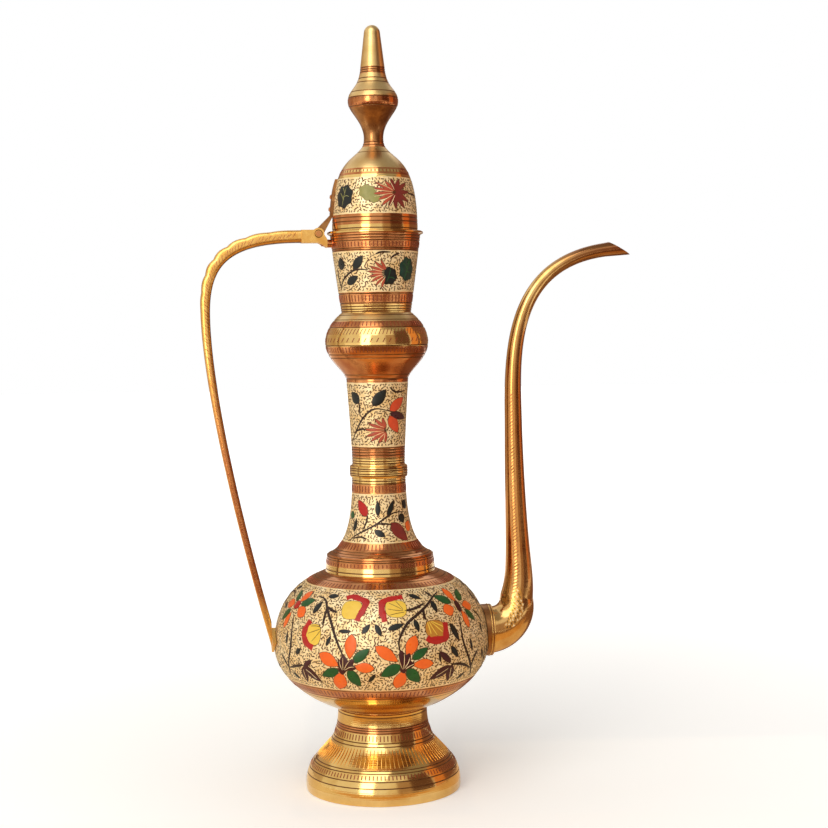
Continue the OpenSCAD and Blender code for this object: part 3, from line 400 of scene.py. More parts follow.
neckRing = {"r": 21.3, "h": 9.0, "round": 1.4, "bore": 16.55, "lip": 17.55, "lipH": 4.0}
upNeckZ = ringZ + neckRing["h"]
lipZ = upNeckZ + neckRing["lipH"]
ringSide = [(neckRing["r"] - neckRing["round"] * (1 - math.sin(math.radians(a))),
             ringZ + neckRing["round"] * (1 - math.cos(math.radians(a)))) for a in range(5, 91, 5)]
ringSide += [(r, ringZ + upNeckZ - z) for r, z in ringSide[::-1]]
turnPiece("neck_ring_turned", trackOf(ringSide), [(None, gold, (232.4, 233.8, 236.0, 237.4))],
          [(neckRing["lip"], upNeckZ), (neckRing["lip"], lipZ), (neckRing["bore"], lipZ),
           (neckRing["bore"], ringZ)], "vessel", "polished_brass", "neck_ring")

upNeck = {"low": 19.4, "high": 22.6, "h": 62.0, "wall": 1.8, "pulls": (0.28, 0.05)}
bulbZ = upNeckZ + upNeck["h"]
upNeckTrack = trackOf(uprightCurve(upNeck["low"], upNeckZ, upNeck["high"], bulbZ, *upNeck["pulls"], 160))
upNeckInside = uprightCurve(upNeck["low"] - upNeck["wall"], upNeckZ, upNeck["high"] - upNeck["wall"], bulbZ,
                            *upNeck["pulls"], 16)
turnPiece("upper_neck_turned", upNeckTrack, [
    (245.7, gold, (241.2, 243.0, 245.0)), (253.5, copper, (247.4, 249.4, 251.4, 252.9)), (300.4, ground, ()),
    (None, copper, ())], upNeckInside[::-1], "vessel", "enamelled_brass", "upper_neck")

bulb = {"r": 37.8, "lowH": 28.0, "upH": 21.5, "top": 25.9, "wall": 1.8, "pulls": (0.254, 0.477),
        "topPull": 0.585, "lip": 20.35, "lipH": 4.0, "shelf": 22.05, "shelfDrop": 2.7}
bulbMid = bulbZ + bulb["lowH"]
cupZ = bulbMid + bulb["upH"]
bulbLipZ = bulbZ - bulb["lipH"]
bulbBore, lipBore = bulb["r"] - bulb["wall"], bulb["lip"] - bulb["wall"]


def bulbShoulder(r, top, steps):  # upright at the widest line, straight in to the top
    return curve((r, bulbMid), (r, mix(bulbMid, top[1], bulb["topPull"])), top, top, steps)


bulbTrack = trackOf(uprightCurve(upNeck["high"], bulbZ, bulb["r"], bulbMid, *bulb["pulls"], 120)
                    + bulbShoulder(bulb["r"], (bulb["top"], cupZ), 120)[1:])
bulbInside = bulbShoulder(bulbBore, (bulb["shelf"], cupZ - bulb["shelfDrop"]), 16)[::-1]
bulbInside += uprightCurve(lipBore, bulbZ + bulb["wall"], bulbBore, bulbMid, *bulb["pulls"], 16)[-2::-1]
turnPiece("bulb_turned", bulbTrack, [
    (317.6, copper, (303.2, 306.0)), (321.8, copper, (318.4, 320.8)), (326.6, copper, ()),
    (328.8, gold, (327.4,)), (340.0, gold, ()), (345.0, copper, (340.6,)), (None, satin, (346.0, 349.4))],
    [(bulb["shelf"], cupZ)] + bulbInside
    + [(lipBore, bulbLipZ), (bulb["lip"], bulbLipZ), (bulb["lip"], bulbZ)],
    "vessel", "polished_brass", "neck_bulb")

cup = {"low": 25.5, "high": 33.2, "h": 57.1, "wall": 1.9, "lean": 0.25, "lip": 22.0, "lipH": 3.5}
rimZ = cupZ + cup["h"]
cupFloorZ, cupLipZ, cupLipBore = cupZ + cup["wall"], cupZ - cup["lipH"], cup["lip"] - cup["wall"]
cupTrack = trackOf(taper(cup["low"], cupZ, cup["high"], rimZ, 60))
turnPiece("cup_turned", cupTrack, [
    (354.2, gold, (352.0, 353.6)), (357.2, gold, (355.6,)), (365.8, copper, (358.0, 364.8)),
    (395.3, ground, ()), (403.2, copper, (396.0, 397.3, 402.8)), (None, copper, (404.6, 406.6))],
    [(cup["high"] - cup["wall"], rimZ), (cup["low"] - cup["wall"] + cup["lean"], cupFloorZ),
     (cupLipBore, cupFloorZ), (cupLipBore, cupLipZ), (cup["lip"], cupLipZ), (cup["lip"], cupZ)],
    "vessel", "enamelled_brass", "mouth_cup")

rim = {"r": 35.2, "t": 2.2, "bore": 31.3}
rimTop = rimZ + rim["t"]
rimSide = [(rim["r"] - rim["t"] / 2 * (1 - math.cos(math.radians(a))),
            rimZ + rim["t"] / 2 * (1 + math.sin(math.radians(a)))) for a in range(-88, 89, 8)]
turnPiece("rim_turned", trackOf(rimSide), [(None, gold, ())], [(rim["bore"], rimTop), (rim["bore"], rimZ)],
          "vessel", "copper_lacquer", "mouth_rim")

lid = {"r": 31.3, "h": 60.9, "top": 8.6, "gap": 0.3, "wall": 1.8, "sidePull": 0.84, "topOut": 0.383,
       "topDrop": 0.186, "topT": 2.8, "socket": 6.05, "socketStep": 0.2, "ceiling": 6.2, "hole": 3.05}
lidZ = rimTop + lid["gap"]
lidTop = lidZ + lid["h"]
socketZ, ceilingZ = lidZ + lid["socket"], lidTop - lid["topT"]
lidBore = lid["r"] - lid["wall"]


def domeSide(r0, z0, r1, z1, steps):
    return curve((r0, z0), (r0, mix(z0, z1, lid["sidePull"])),
                 (mix(r1, r0, lid["topOut"]), mix(z1, z0, lid["topDrop"])), (r1, z1), steps)


lidTrack = trackOf(domeSide(lid["r"], lidZ, lid["top"], lidTop, 240))
lidInside = domeSide(lidBore - lid["socketStep"], socketZ, lid["ceiling"], ceilingZ, 24)
turnPiece("lid_turned", lidTrack, [
    (414.3, gold, (411.6,)), (421.8, copper, (416.5, 419.4)), (448.1, ground, ()), (450.2, gold, ()),
    (451.9, copper, ()), (453.7, gold, ()), (455.0, copper, ()), (None, satin, (467.5,))],
    [(lid["hole"], lidTop), (lid["hole"], ceilingZ)] + lidInside[::-1]
    + [(lidBore, socketZ), (lidBore, lidZ)], "lid", "enamelled_brass", "lid_dome")

finial = {"foot": 8.6, "footH": 6.5, "neck": 7.1, "knob": 18.4, "lowH": 26.5, "upH": 24.5, "spire": 8.9,
          "spireH": 25.0, "tip": 5.9, "tipH": 5.95, "tenon": 3.0, "tenonLow": 461.7, "footPulls": (0.05, 0.6),
          "knobPulls": (0.472, 0.274), "shoulderPull": 0.39, "spireOut": 0.14, "spirePull": 0.65}
waistZ = lidTop + finial["footH"]
knobZ = waistZ + finial["lowH"]
spireZ = knobZ + finial["upH"]
tipZ = spireZ + finial["spireH"]
finialSide = uprightCurve(finial["foot"], lidTop, finial["neck"], waistZ, *finial["footPulls"], 30)
finialSide += uprightCurve(finial["neck"], waistZ, finial["knob"], knobZ, *finial["knobPulls"], 90)[1:]
finialSide += curve(
    (finial["knob"], knobZ), (finial["knob"], mix(knobZ, spireZ, finial["shoulderPull"])),
    (mix(finial["spire"], finial["knob"], finial["spireOut"]), mix(spireZ, knobZ, finial["spirePull"])),
    (finial["spire"], spireZ), 90)[1:]
finialSide += taper(finial["spire"], spireZ, finial["tip"], tipZ, 20)[1:]
finialSide += [(finial["tip"] * math.cos(math.radians(a)), tipZ + finial["tipH"] * math.sin(math.radians(a)))
               for a in range(5, 86, 5)]
finialTrack = trackOf(finialSide)
turnPiece("finial_turned", finialTrack, [
    (475.6, copper, (473.0, 475.0)), (499.6, "brownedBrass", ()), (507.4, copper, (500.4, 506.8)),
    (524.4, satin, (511.0, 518.0, 521.0)), (529.4, copper, (525.4, 527.0, 528.6)), (None, satin, ())],
    [(0.0, tipZ + finial["tipH"]), (0.0, finial["tenonLow"]), (finial["tenon"], finial["tenonLow"]),
     (finial["tenon"], lidTop)], "lid", "polished_brass", "finial", sides=160)
print("turned pieces done")


def bladeOutline(length, width, lean, blunt):  # two edges from heart to tip, fullest where lean puts it
    steps = [i / 9 for i in range(10)]
    edge = [(length * (t - 0.5), width / 2 * max(0.0, math.sin(math.pi * t ** lean)) ** blunt) for t in steps]
    return [(along, -half) for along, half in edge] + edge[-2:0:-1]


def leafOutline(length, width):  # pointed at both ends
    return bladeOutline(length, width, 0.85, 0.8)


def petalOutline(length, width):  # narrow at the heart, full towards a blunt tip
    return bladeOutline(length, width, 1.15, 0.75)


def budOutline(length, width):  # rounded block
    turns = [2 * math.pi * i / 20 for i in range(20)]
    return [tuple(math.copysign(abs(v) ** 0.75, v) * size / 2
                  for v, size in ((math.cos(a), length), (math.sin(a), width))) for a in turns]


def ivyOutline(length, width):  # seven lobes
    made = []
    for i in range(42):
        a = 2 * math.pi * i / 42
        size = 0.93 + 0.07 * math.cos(7 * a)
        made.append((length / 2 * size * math.cos(a), width / 2 * size * math.sin(a)))
    return made


def newStore():  # what a piece of ornament is gathered in
    return {"points": [], "faces": [], "parts": []}


def addFaces(store, base, faces, part):  # faces are numbered from the ornament's first point
    store["faces"] += [tuple(base + k for k in face) for face in faces]
    store["parts"] += [part] * len(faces)


def finishStore(name, store, body, slot):
    makePiece(name, store["points"], store["faces"], store["parts"], body, slot)


def onSide(track, s, theta, shift, up):  # point on a turned side, shifted mm round it and lifted mm off it
    r, z, nr, nz = spotOn(track, s)
    angle = theta + shift / r
    return ((r + nr * up) * math.cos(angle), (r + nr * up) * math.sin(angle), z + nz * up)


def tubeFaces(rings, around, closed=False):  # sides of a row of rings, and its ends unless the row is closed
    faces = []
    for i in range(rings if closed else rings - 1):
        here, there = i * around, (i + 1) % rings * around
        for k in range(around):
            n = (k + 1) % around
            faces.append((here + k, there + k, there + n, here + n))
    if not closed:
        faces += [tuple(range(around)), tuple((rings - 1) * around + k for k in reversed(range(around)))]
    return faces


relief = {"lift": 0.08, "crown": 0.14, "sink": 0.3, "outline": 0.26, "ridge": 0.1, "stroke": 0.14,
          "edge": "outlineEnamel"}


def inlay(store, track, spot, outlineOf, part, lift):
    # a closed, slightly domed field of enamel with a dark engraved edge
    theta, z, length, width, tilt = spot
    s0, turn = lengthAt(track, z), math.radians(tilt)
    outline = outlineOf(length, width)
    count, base = len(outline), len(store["points"])

    def point(a, b, up):
        return onSide(track, s0 + a * math.sin(turn) + b * math.cos(turn), math.radians(theta),
                      a * math.cos(turn) - b * math.sin(turn), up)

    rise = relief["lift"] + lift
    inner = max(0.55, 1 - 2 * relief["outline"] / width)
    for k, up in ((1.0, -relief["sink"]), (1.0, rise), (inner, rise + relief["crown"] * 0.4),
                  (0.5 * inner, rise + relief["crown"])):
        store["points"] += [point(a * k, b * k, up) for a, b in outline]
    store["points"] += [point(0, 0, rise + relief["crown"] * 1.1), point(0, 0, -relief["sink"])]
    for i in range(count):
        j = (i + 1) % count
        for ring, shade in ((0, relief["edge"]), (1, relief["edge"]), (2, part)):
            low, high = ring * count, (ring + 1) * count
            addFaces(store, base, [(low + i, low + j, high + j, high + i)], shade)
        addFaces(store, base, [(3 * count + i, 3 * count + j, 4 * count)], part)
        addFaces(store, base, [(j, i, 4 * count + 1)], relief["edge"])


def stem(store, track, path, width, part, lift, ends, lobes):
    # a raised line through the given angles and heights, narrowed at its ends or lobed along its sides
    knots = [(math.radians(theta), lengthAt(track, z)) for theta, z in path]
    knots = [knots[0]] + knots + [knots[-1]]
    line = []
    for k in range(len(knots) - 3):
        for i in range(6):
            t = i / 6
            line.append(tuple(
                0.5 * (2 * b + (c - a) * t + (2 * a - 5 * b + 4 * c - d) * t * t
                       + (3 * b - a - 3 * c + d) * t ** 3)
                for a, b, c, d in zip(*knots[k:k + 4])))
    line.append(knots[-1])
    base, last = len(store["points"]), len(line) - 1
    rise, sink = relief["lift"] + lift, -relief["sink"]
    section = ((-0.5, sink), (-0.4, rise), (0.0, rise + relief["ridge"]), (0.4, rise), (0.5, sink))
    for i, (theta, s) in enumerate(line):
        a, b = line[max(0, i - 1)], line[min(last, i + 1)]
        du, dv = (b[0] - a[0]) * spotOn(track, s)[0], b[1] - a[1]
        size = math.hypot(du, dv) or 1.0
        thick = width * mix(ends, 1.0, min(1.0, 3 * min(i, last - i) / last))
        thick *= 1 - 0.22 * math.sin(math.pi * lobes * i / last) ** 2
        for across, up in section:
            u, v = -dv / size * across * thick, du / size * across * thick
            store["points"].append(onSide(track, s + v, theta, u, up))
    addFaces(store, base, tubeFaces(last + 1, len(section)), part)


def tickRow(store, track, low, high, pitch, width, slant=0.0, part="lacStroke"):
    # short upright bars all round, as a row of punch strokes
    s0, s1 = lengthAt(track, low), lengthAt(track, high)
    half = (s0 + s1) / 2
    count = max(8, round(2 * math.pi * spotOn(track, half)[0] / pitch))
    for i in range(count):
        base = len(store["points"])
        for up, narrow in ((-relief["sink"], 1.0), (relief["stroke"], 0.7)):
            for s, side in ((s0, -1), (s0, 1), (s1, 1), (s1, -1)):
                shift = side * width / 2 * narrow + (slant / 2 if s == s1 else -slant / 2)
                store["points"].append(onSide(
                    track, mix(s, half, 1 - narrow ** 0.3), 2 * math.pi * i / count, shift, up))
        addFaces(store, base, [
            (3, 2, 1, 0), (4, 5, 6, 7), (0, 1, 5, 4), (1, 2, 6, 5), (2, 3, 7, 6), (3, 0, 4, 7)], part)


# drawn coarser than the real stipple, so that it shows
stipple = {"spacing": 2.35, "margin": 1.5, "rowShare": 0.88, "length": (0.8, 1.5), "width": (0.32, 0.52),
           "lift": 0.05, "sink": 0.2, "finish": "grainEnamel"}


def grains(store, track, low, high):
    # the punched ground: short dark curling strokes in loose rows, painted shadow in the punched cuts
    s0, s1 = lengthAt(track, low) + stipple["margin"], lengthAt(track, high) - stipple["margin"]
    rows = max(2, round((s1 - s0) / (stipple["spacing"] * stipple["rowShare"])))
    faces = [(0, 1, 7), (1, 2, 6, 7), (2, 3, 5, 6), (3, 4, 5)] + [((k + 1) % 8, k, 8) for k in range(8)]
    for row in range(rows + 1):
        s = mix(s0, s1, row / rows)
        count = round(2 * math.pi * spotOn(track, s)[0] / stipple["spacing"])
        for i in range(count):
            theta = 2 * math.pi * (i + 0.5 * (row % 2) + dice.uniform(-0.25, 0.25)) / count
            middle = min(max(s + dice.uniform(-0.3, 0.3) * stipple["spacing"], s0), s1)
            turn = dice.uniform(0.0, math.pi)
            length, width = dice.uniform(*stipple["length"]), dice.uniform(*stipple["width"])
            bend, curl = dice.uniform(-0.6, 0.6), dice.uniform(-0.4, 0.4)
            spine = [(length * k, bend * (1 - k * k) + curl * math.sin(math.pi * k))
                     for k in (-1, -0.5, 0, 0.5, 1)]
            edge = ([spine[0]] + [(p, q - width) for p, q in spine[1:4]] + [spine[4]]
                    + [(p, q + width) for p, q in spine[3:0:-1]])
            base = len(store["points"])
            for p, q, up in [(p, q, stipple["lift"]) for p, q in edge] + [(*spine[2], -stipple["sink"])]:
                store["points"].append(onSide(track, middle + p * math.sin(turn) + q * math.cos(turn), theta,
                                              p * math.cos(turn) - q * math.sin(turn), up))
            addFaces(store, base, faces, stipple["finish"])


def paintPanel(store, track, panel):
    # the front panel and its twin half a turn round
    for around in (0, 180):
        for part, outlineOf, lift, spots in panel["fields"]:
            for theta, *rest in spots:
                inlay(store, track, (theta + around, *rest), outlineOf, part, lift)
        for part, width, lift, ends, lobes, lines in panel["lines"]:
            for line in lines:
                stem(store, track, [(theta + around, z) for theta, z in line], width, part, lift, ends, lobes)


# fields: enamel, outline, lift, then angle, height, length, width and tilt of each
# lines: enamel, width, lift, width of the ends, lobes, then the angles and heights that each runs through
bellyPanel = {
    "lines": [
        ("stemEnamel", 2.4, 0.04, 0.4, 0, [
            [(-117.5, 111), (-119.5, 116.5), (-122.5, 124.5), (-126.5, 134.5), (-131.5, 142.5), (-136, 148),
             (-143, 149.5)],
            [(-131.5, 144), (-128, 142), (-124, 141)], [(-132, 143.5), (-131.5, 137.5), (-131.5, 132)],
            [(-88.5, 115), (-89, 121.5), (-87, 128), (-83, 134.5), (-77, 139), (-71, 143),
             (-62.5, 148.5), (-56.5, 151)],
            [(-71, 145.5), (-77.5, 143), (-84, 142)], [(-72, 143), (-73, 138.5), (-72.5, 135)],
            [(-62, 149), (-64, 150.5), (-65.5, 152.5)], [(-66.5, 105.5), (-67, 112)],
            [(-156.5, 135.5), (-154, 125), (-153.5, 113.5), (-156.5, 98), (-158, 92)],
            [(-155, 98.5), (-148.5, 101), (-143, 102.5)], [(-156.5, 97.5), (-159.5, 102.5), (-163.5, 106)],
            [(-49, 135.5), (-50.5, 120), (-47, 106.5), (-42.5, 96.5), (-39.5, 90)],
            [(-59.5, 102.5), (-51.5, 101), (-43.5, 96.5)], [(-43, 97.5), (-41, 103.5), (-37, 108)],
            [(-33, 135.5), (-29, 131.5), (-26, 125.5)],
            [(-22, 134), (-17, 141), (-9, 146), (1, 148), (10, 146)], [(-9, 146), (-4, 141), (2, 139)],
            [(-26, 92), (-18, 90.5), (-8, 91), (2, 93)], [(-26, 108), (-27, 100), (-24, 92.5)]]),
        ("redEnamel", 6.2, 0.10, 0.8, 4, [  # lobed caps on the buds
            [(-121, 150), (-117, 151), (-112.5, 150), (-107.5, 148), (-108.5, 143.5), (-110.5, 139.5),
             (-111.5, 136)],
            [(-83.5, 150.5), (-88.5, 150), (-94, 149), (-97, 147.5), (-97.5, 143), (-96.5, 138.5),
             (-96, 135.5)]]),
        ("redEnamel", 7.0, 0.10, 0.8, 3, [
            [(-140.5, 134), (-142.5, 129), (-143, 123.5), (-140, 118.5), (-136, 116)],
            [(-73.5, 123.5), (-71.5, 121.5), (-66.5, 121), (-62.5, 122), (-61.5, 127), (-61, 132)]]),
        ("outlineEnamel", 0.55, 0.16, 0.6, 0, [  # veins of the buds
            [(-84.5, 141), (-89, 140.5), (-93.5, 139.5)], [(-85, 142), (-89.5, 142.5), (-94, 143.5)],
            [(-85, 142.5), (-89, 145), (-93, 147)], [(-85, 143), (-87, 146), (-88.5, 148)],
            [(-132, 130.5), (-135.5, 131), (-139, 130.5)], [(-132, 129.5), (-136, 127.5), (-140, 125.5)],
            [(-132, 128.5), (-134.5, 124), (-137, 120.5)]]),
        ("yellowEnamel", 0.9, 0.16, 0.6, 0, [  # pale veins of the amber bud
            [(-72, 133.5), (-71.5, 129.5), (-71, 125.5)], [(-71, 133.5), (-69.5, 129), (-67.5, 124.5)],
            [(-70, 133.5), (-67, 130), (-64, 126)], [(-69.5, 134), (-66, 131.5), (-63, 129.5)]]),
        ("punchedGround", 0.5, 0.22, 0.5, 0, [  # pale cuts in the dark calyxes
            [(-118.5, 102.5), (-119.5, 106), (-120, 109)], [(-118, 102.5), (-118, 107), (-118, 111)],
            [(-117.5, 102.5), (-116, 106.5), (-114.5, 109)], [(-117, 102.5), (-114.5, 104.5), (-112, 105)],
            [(-87.5, 103), (-89, 108.5), (-89.5, 113)], [(-87, 103), (-86.5, 108.5), (-86.5, 113.5)],
            [(-86.5, 103.5), (-84.5, 107.5), (-83.5, 111)], [(-86, 103), (-83.5, 105), (-81.5, 106)],
            [(-141, 100), (-138, 97.5), (-135, 94)], [(-143, 99.5), (-143, 95.5), (-143, 92)],
            [(-61.5, 100), (-64.5, 98), (-68.5, 95.5)], [(-59.5, 100), (-59.5, 96.5), (-59, 92.5)]])],
    "fields": [
        ("orangeEnamel", petalOutline, 0.0, [
            (-114, 119, 18, 9, 86), (-126, 109, 18, 9.5, 154), (-107, 104.5, 15.5, 7.5, -4),
            (-120.5, 94, 16.5, 10.5, -107), (-82.5, 118.5, 17, 9, 64), (-95.5, 114, 20, 8.5, 145),
            (-76.5, 105.5, 17, 7.5, -1), (-88.5, 95, 16, 9.5, -107), (-155, 148, 13, 7.5, 60),
            (-151, 138.5, 12.5, 9, -28), (-167, 141.5, 12.5, 8, 184), (-162.5, 131, 14.5, 6.5, 250),
            (-47.5, 148.5, 14.5, 7, 104), (-37, 139.5, 13, 8, -8), (-55, 139.5, 11.5, 9.5, 188),
            (-44, 131.5, 15, 6.5, -80)]),
        ("greenEnamel", leafOutline, 0.0, [
            (-108.5, 113, 16, 7, 39), (-125.5, 99.5, 16, 7, -159), (-112.5, 96.5, 16, 8.5, -61),
            (-78, 113, 15, 6.5, 30), (-93.5, 102, 16.5, 8.5, -152), (-81.5, 97.5, 16, 8.5, -49),
            (-164, 147.5, 12.5, 6, 128), (-149.5, 145, 14.5, 7.5, 22), (-167, 134, 14.5, 6.5, 224),
            (-38.5, 147, 13.5, 7, 46), (-55.5, 146.5, 15.5, 7.5, 150), (-38, 133, 13.5, 6, -46)]),
        ("maroonEnamel", leafOutline, 0.05, [
            (-117.5, 107, 13, 7.5, 95), (-119, 106, 9, 5, 123), (-114.5, 107, 10, 5, 42),
            (-114, 104.5, 9, 5, -5), (-118.5, 102, 6.5, 6, -94), (-87, 109.5, 15, 7, 106),
            (-85, 109.5, 10.5, 5.5, 68), (-84.5, 106, 9.5, 6.5, -4), (-87, 102.5, 5.5, 5.5, -80),
            (-139.5, 104.5, 10, 4, 33), (-137.5, 97, 19, 7, -39), (-143, 95.5, 13, 6, -92),
            (-63.5, 108.5, 14, 5, 138), (-66, 97.5, 19, 7, -152), (-59.5, 96, 13.5, 7, -93)]),
        ("redEnamel", budOutline, 0.06, [(-158.5, 142, 7, 7, 90)]),
        ("maroonEnamel", budOutline, 0.06, [(-46, 140.5, 9, 5.5, 90)]),
        ("blackGreenEnamel", leafOutline, 0.03, [
            (-131, 150.5, 9, 4.5, 6), (-139, 143, 11.5, 5, 69), (-117.5, 129, 10, 3, 0),
            (-106, 131, 9, 4, 52), (-99.5, 130, 10, 4, -64), (-126.5, 122, 8.5, 3, 67),
            (-90, 132, 12.5, 4.5, 16), (-78.5, 132, 9.5, 4, -76), (-75, 150, 10, 4, -30),
            (-64.5, 143, 10.5, 4.5, -85), (-55.5, 124.5, 15.5, 5, -66), (-57, 111, 11.5, 4.5, -52),
            (-103, 97, 8.5, 3, 52), (-158, 119.5, 10, 3, 97), (-146.5, 112, 7, 4, 40),
            (-151, 93, 8, 3.5, -30), (-43.5, 113.5, 11, 2.8, 100), (-49.5, 92, 9, 3, 35),
            (-29.5, 122, 8, 3, -80), (-20, 144, 10, 4, 70), (-12, 151, 9, 4, 30), (3, 151, 9, 4, 15),
            (6, 139, 9, 4, -20), (-14, 137.5, 8, 3.5, -30), (-15, 95, 8, 3.5, 25), (-7, 88, 8, 3, -15),
            (5, 95, 8, 3.5, 20), (-22, 104, 9, 4, 60), (-31, 104, 8, 3.5, 120)]),
        ("yellowEnamel", budOutline, 0.04, [
            (-115.5, 143, 15, 15, 2), (-89, 143.5, 15.5, 14, -3), (-136.5, 125, 13.5, 15.5, 6)]),
        ("amberEnamel", budOutline, 0.04, [(-68, 128.5, 16, 13, -6)])],
}

lidPanel = {
    "lines": [
        ("stemEnamel", 1.7, 0.04, 0.4, 0, [[(-43, 436.5), (-30.5, 436), (-21, 435)]]),
        ("punchedGround", 0.5, 0.2, 0.5, 0, [  # pale cuts between the petals
            [(-71, 438), (-80, 440.5), (-92, 443)], [(-72, 437), (-84, 437.5), (-98, 438.5)],
            [(-72, 436), (-84, 435), (-98, 433.5)], [(-71, 435), (-80, 432.5), (-91, 428.5)],
            [(-69, 434.5), (-73, 430.5), (-79, 425.5)], [(-69, 438.5), (-72, 442), (-76, 446)]]),
        ("paleGreenEnamel", 0.6, 0.16, 0.4, 0, [  # veins of the ivy leaf
            [(-147, 428), (-145, 434), (-142, 441)], [(-145.5, 432), (-150, 436), (-153, 437)],
            [(-145, 434), (-140, 435), (-135, 434)], [(-144, 437), (-147, 440), (-149, 441)]])],
    "fields": [
        ("blackGreenEnamel", ivyOutline, 0.0, [(-145, 434.5, 18, 17.5, 72)]),
        ("paleGreenEnamel", ivyOutline, 0.0, [(-107, 436.5, 15, 12, 149), (-97, 432, 9, 6, -154)]),
        ("rustEnamel", leafOutline, 0.03, [
            (-83.5, 440.5, 17.5, 2.7, 152), (-86, 438.5, 18, 2.3, 169), (-87, 436, 19, 2.5, -176),
            (-83, 433.5, 16, 2.5, -158), (-79.5, 431.5, 15.5, 2.8, -137), (-75.5, 441, 12, 2.9, 130)]),
        ("brickEnamel", leafOutline, 0.05, [
            (-70.5, 442, 10.5, 4, 100), (-63, 442, 11, 4, 62), (-57, 440.5, 15.5, 3.5, 32),
            (-55, 437, 15.5, 3.5, 3), (-56.5, 433.5, 15, 4, -29), (-61, 431, 14.5, 4.5, -56),
            (-68.5, 430.5, 12.5, 4, -90), (-74, 431, 13, 3, -117)])],
}

cupPanel = {
    "lines": [("stemEnamel", 1.7, 0.04, 0.4, 0, [
        [(-162.5, 368), (-154, 374), (-138, 379.5), (-124.5, 382), (-108.5, 381.5)],
        [(-165.5, 382), (-165, 376), (-161.5, 369.5)],
        [(-98, 392.5), (-90.5, 394), (-77.5, 394)],
        [(-77.5, 389.5), (-71, 392), (-64.5, 393)]]),
        ("greenEnamel", 0.8, 0.16, 0.4, 0, [  # veins of the ivy leaves
            [(-53, 375), (-48.5, 382), (-45, 389)], [(-49.5, 380), (-44, 380), (-39, 379)],
            [(-48, 382), (-53, 385), (-57, 386)], [(-46.5, 386), (-42, 387)],
            [(-82, 373), (-79, 377), (-77, 382)], [(-79.5, 376), (-74, 376), (-70, 375)]]),
        ("punchedGround", 0.45, 0.2, 0.5, 0, [  # pale cuts between the petals
            [(-86, 380), (-96, 381), (-106, 382.5)], [(-86, 379), (-96, 379), (-107, 379)],
            [(-86, 378), (-95, 377), (-105, 375)], [(-85, 377), (-92, 375), (-100, 371.5)],
            [(-84, 376.5), (-88.5, 373.5), (-93, 369)], [(-86, 381), (-93.5, 383), (-101, 386)]])],
    "fields": [
        ("blackGreenEnamel", leafOutline, 0.0, [
            (-153, 386.5, 9.5, 8.5, 90), (-122.5, 387, 13, 6.5, 50), (-134, 374.5, 12, 6, 28)]),
        ("deepGreenEnamel", ivyOutline, 0.0, [(-48.5, 382, 18.5, 16, 107)]),
        ("blackGreenEnamel", ivyOutline, 0.05, [(-79, 377, 13.5, 13.5, 92)]),
        ("rustEnamel", leafOutline, 0.03, [
            (-97, 380, 15.5, 2.4, 176), (-96, 378, 15, 2.4, -168), (-94.5, 376, 14.5, 2.4, -149),
            (-91, 374.5, 13.5, 2.4, -130), (-86.5, 373.5, 12.5, 2.4, -108), (-95.5, 382, 14.5, 2.4, 159),
            (-92, 384, 12.5, 2.4, 138), (-87, 384.5, 11, 2.4, 116)])],
}

upNeckPanel = {
    "lines": [("stemEnamel", 1.6, 0.04, 0.4, 0, [
        [(-171.5, 255), (-156, 262), (-141, 269), (-128.5, 275), (-113, 280), (-97, 281.5),
         (-74, 279.5)],
        [(-151, 264.5), (-137, 266.5), (-123, 266.5)], [(-136, 285.5), (-136, 276.5)],
        [(-74.5, 297), (-62, 293.5), (-34.5, 294)]]),
        ("punchedGround", 0.45, 0.2, 0.5, 0, [  # pale cuts between the petals
            [(-86, 266.5), (-103, 267.5), (-122, 269.5)], [(-86, 265.5), (-104, 265), (-123, 264.5)],
            [(-86, 264.5), (-101, 262.5), (-116, 260)], [(-85, 263.5), (-94, 260.5), (-104, 256.5)],
            [(-86, 268), (-97, 269.5), (-110, 272.5)], [(-84, 263), (-86, 259.5), (-89, 256)]])],
    "fields": [
        ("blackGreenEnamel", leafOutline, 0.0, [(-146.5, 289.5, 11.5, 8, 133), (-94.5, 289.5, 16, 8, 50)]),
        ("vermilionEnamel", leafOutline, 0.0, [(-57, 284.5, 16.5, 8, 36), (-64, 270, 15.5, 8.5, -59)]),
        ("maroonEnamel", leafOutline, 0.04, [(-52, 276, 17, 6, -14)]),
        ("rustEnamel", leafOutline, 0.03, [
            (-105, 266, 18, 3, 176), (-103.5, 263.5, 17, 3, -163), (-98.5, 261.5, 15, 3, -145),
            (-90, 260.5, 11, 3, -120), (-83, 261, 9.5, 3, -90), (-101, 268.5, 15.5, 3, 159),
            (-94, 270.5, 12, 3, 135), (-86, 271, 9, 3, 108)])],
}

lowNeckPanel = {
    "lines": [("stemEnamel", 1.6, 0.04, 0.4, 0, [
        [(-152.5, 185.5), (-143, 189), (-125.5, 193), (-104.5, 197.5), (-87, 202), (-67.5, 205.5),
         (-42, 205.5)],
        [(-104.5, 197.5), (-90, 198), (-74.5, 197)], [(-122, 204.5), (-123, 199.5), (-129, 193.5)],
        [(-146, 187), (-132.5, 188.5), (-119.5, 187.5)]])],
    "fields": [
        ("redEnamel", leafOutline, 0.0, [(-134, 209, 15, 7.5, 126)]),
        ("blackGreenEnamel", leafOutline, 0.0, [
            (-101, 209, 11.5, 4, 91), (-148, 196.5, 10.5, 4, 87), (-74.5, 209, 14, 4, 63),
            (-50.5, 201, 7.5, 7, -73), (-97.5, 191, 9.5, 5, -30), (-36, 211, 7.5, 7.5, 47)]),
        ("greenEnamel", leafOutline, 0.0, [(-163.5, 203.5, 6, 7, 79)]),
        ("brickEnamel", leafOutline, 0.0, [(-61.5, 191.5, 19, 10.5, -51)]),
        ("orangeEnamel", petalOutline, 0.0, [(-36, 195, 7.5, 9.5, -41)])],
}

